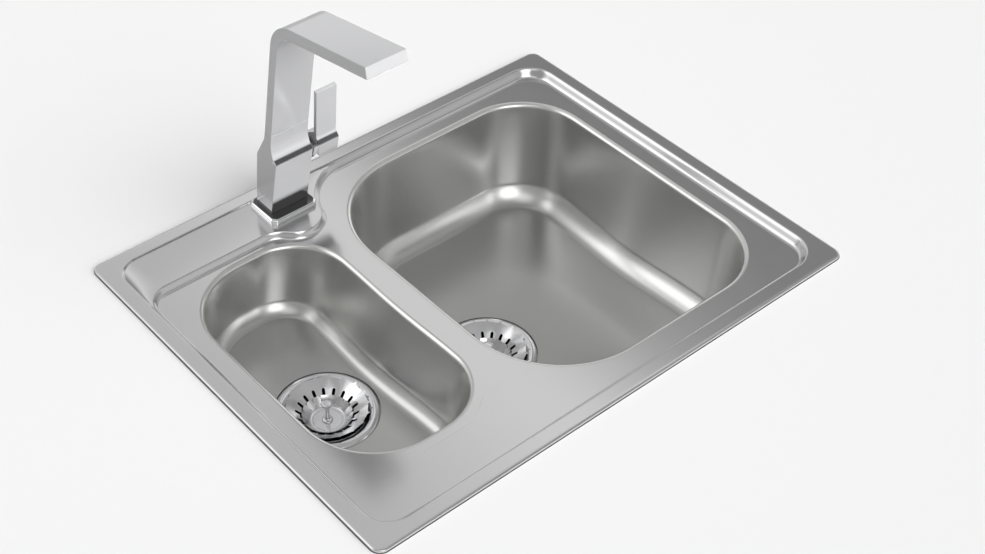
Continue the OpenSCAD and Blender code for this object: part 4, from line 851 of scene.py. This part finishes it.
def leaningPrism(outline):
    # Prism whose near face leans away below the cartridge's axis, so that the lever can be lifted
    axisZ, split = lever["hubAt"][1], []
    for p, q in zip(outline, np.roll(outline, -1, 0)):
        split.append(p)
        if (p[1] - axisZ) * (q[1] - axisZ) < 0:
            split.append(mix(p, q, (axisZ - p[1]) / (q[1] - p[1])))
    split = np.array(split)
    points, faces = sidePrism(split, lever["x0"], lever["x1"])
    count = len(split)
    points[:count, 0] += np.maximum(0.0, axisZ - split[:, 1]) * math.tan(math.radians(lever["lift"]))
    a, b = np.flatnonzero(np.abs(split[:, 1] - axisZ) < 1e-6)
    near = [list(range(a, b + 1)), list(range(b, count)) + list(range(a + 1))]
    return points, [face[::-1] for face in near] + faces[1:]


piece = addPiece("tapLever", [leaningPrism(leverOutline[::-1]),
                              sidePrism(skirtOutline[::-1], lever["skirt"], lever["x0"])],
                 "lever", finishes["tapChrome"], ["tap_lever"], sharp=tap["sharp"])
roundEdges(piece, lever["edge"])
print("tap made")


# CAD nodes that stay, each finished by its slot, or by its own name
slotFinish = {"brushed_steel": "bowlSteel", "polished_steel": "polishedSteel", "chrome": "chromePlate",
              "rubber": "blackRubber", "plastic": "whitePlastic", "zinc": "zincPlate", "brass": "brassBar"}
# The cartridge collar takes the painted shade of the slit beside the lever
ownFinish = {"main_damping_pad": "soundPad", "half_damping_pad": "soundPad",
             "cartridge_collar": "collarPaintedShade"}
slots = {row["node"]: row["material_slot"] for row in frame["record"]["subparts"]}
for name, node in frame["nodes"].items():
    finish = finishes[ownFinish.get(name) or slotFinish[slots[name]]]
    if not node.material_slots:
        node.data.materials.append(finish)
    for slot in node.material_slots:
        slot.link = "OBJECT"
        slot.material = finish
    if not node.hide_render:
        soften(node)
print("carried nodes finished")


# Floor with a cut-out for the sink, and the thin dark line under the rim's edge, a sealant joint and painted
# shadow
stage = {"half": (1150.0, 1100.0), "centre": (60.0, 60.0), "cut": (319.0, 244.0, 14.0), "tone": 0.77,
         "rough": 0.8, "joint": (-0.7, 4.0), "jointHeight": 0.05}


def aroundSquare(x, y):
    return np.array([[-x, -y], [x, -y], [x, y], [-x, y]])


cutX, cutY, cutRadius = stage["cut"]
cut = rounded([(x, y, cutRadius) for x, y in aroundSquare(cutX, cutY)[[1, 2, 3, 0]]])
floorFinish = newFinish("paleFloor", {"Base Color": (*(stage["tone"],) * 3, 1),
                                      "Roughness": stage["rough"]})[0]
addStage("paleFloor", flatLand(aroundSquare(*stage["half"]) + stage["centre"], [cut], 0.0), floorFinish)
# The dark ring is partly a sealant joint and partly painted shadow under the rim's edge
jointShadowRings = np.stack([raised(edgeRing(s), stage["jointHeight"]) for s in stage["joint"]])
addStage("jointShadowLine", (jointShadowRings, stripFaces(*jointShadowRings.shape[:2])), finishes["soundPad"])

# Studio that metal and the camera see. "ceiling" holds its levels over the angle from straight up
# towards +X, in degrees, with a light panel over the right; "front" is the level before the sink,
# and "behind" the north shares between which the ceiling takes over. Panels are soft discs that add
# or take away light, and "key" is the side from which dull surfaces get more light
studio = {"ceiling": [(-90, 0.80), (-45, 0.90), (-10, 0.82), (18, 0.70), (26, 0.68), (30, 0.84),
                      (33.2, 0.94), (35.2, 1.40), (36.6, 0.86), (37.8, 0.52), (39.2, 0.39), (41.0, 0.33),
                      (43.0, 0.28), (46, 0.25), (52, 0.32), (60, 1.2), (90, 1.6)],
          "behind": (-0.1, 0.32), "front": 0.42, "horizon": 0.66, "horizonEnds": (0.04, 0.24),
          "roomLevel": 0.24, "frontLevel": 4.6, "key": (295, 30), "spread": (0.55, 1.0),
          "panels": [{"azimuth": 253, "rise": 30, "core": 8, "edge": 22, "level": 2.0},
                     {"azimuth": 149, "rise": 34, "core": 9, "edge": 26, "level": 1.2},
                     {"azimuth": 303, "rise": 36, "core": 4, "edge": 9, "level": -0.38},
                     {"azimuth": 220, "rise": 48, "core": 6, "edge": 20, "level": 0.6}]}
world = bpy.data.worlds.new("studio")
bpy.context.scene.world = world
world.use_nodes = True
tree = world.node_tree
tree.nodes.clear()
direction = addNode(tree, "ShaderNodeTexCoord", {}, {}, out="Generated")
east, up = (addNode(tree, "ShaderNodeSeparateXYZ", {}, {0: direction}, out=k) for k in ("X", "Z"))


def facing(axis, low, high, dark, light):
    # Level that eases from dark to light as a direction turns towards an axis
    along = addNode(tree, "ShaderNodeVectorMath", {"operation": "DOT_PRODUCT"},
                    {0: direction, 1: tuple(axis)}, out="Value")
    return addNode(tree, "ShaderNodeMapRange", {"interpolation_type": "SMOOTHSTEP"},
                   {"Value": along, "From Min": low, "From Max": high, "To Min": dark, "To Max": light})


def towards(azimuth, rise):
    a, e = math.radians(azimuth), math.radians(rise)
    return math.cos(e) * math.cos(a), math.cos(e) * math.sin(a), math.sin(e)


tilt = addNode(tree, "ShaderNodeMath", {"operation": "ARCTAN2"}, {0: east, 1: up})
stops = [(a / 360 + 0.5, level) for a, level in studio["ceiling"]]
ceiling = addNode(tree, "ShaderNodeValToRGB", {"stops": stops}, {"Fac": tilt * (1 / (2 * math.pi)) + 0.5})
behind = facing((0, 1, 0), *studio["behind"], 0.0, 1.0)
seen = ceiling * behind + (1.0 - behind) * studio["front"]
for panel in studio["panels"]:
    edge, core = (math.cos(math.radians(panel[k])) for k in ("edge", "core"))
    seen = seen + facing(towards(panel["azimuth"], panel["rise"]), edge, core, 0.0, panel["level"])
low = facing((0, 0, 1), *studio["horizonEnds"], 1.0, 0.0)
seen = seen * (1.0 - low) + low * studio["horizon"]
lit = facing(towards(*studio["key"]), *studio["spread"], studio["roomLevel"], studio["frontLevel"])
rays = [addNode(tree, "ShaderNodeLightPath", {}, {}, out=k)
        for k in ("Is Camera Ray", "Is Glossy Ray", "Is Transmission Ray")]
direct = addNode(tree, "ShaderNodeMath", {"operation": "ADD", "use_clamp": True},
                 {0: rays[0] + rays[1], 1: rays[2]})
background = addNode(tree, "ShaderNodeBackground", {},
                     {"Color": (1, 1, 1, 1), "Strength": direct * seen + (1.0 - direct) * lit})
addNode(tree, "ShaderNodeOutputWorld", {}, {"Surface": background})

# Soft lamp over the back, in metres and watts
softbox = {"at": (-0.3, 0.5, 1.9), "aim": (0.0, 0.0, 0.0), "size": (1.3, 1.0), "power": 4.0}
lampData = bpy.data.lights.new("topSoftbox", "AREA")
lampData.shape = "RECTANGLE"
lampData.size, lampData.size_y = softbox["size"]
lampData.energy = softbox["power"]
lamp = bpy.data.objects.new("topSoftbox", lampData)
lamp.visible_glossy = False
lamp.location = softbox["at"]
aim = Vector(softbox["aim"]) - Vector(softbox["at"])
lamp.rotation_euler = aim.to_track_quat("-Z", "Y").to_euler()
bpy.context.scene.collection.objects.link(lamp)
print("stage set")

bpy.context.view_layer.update()
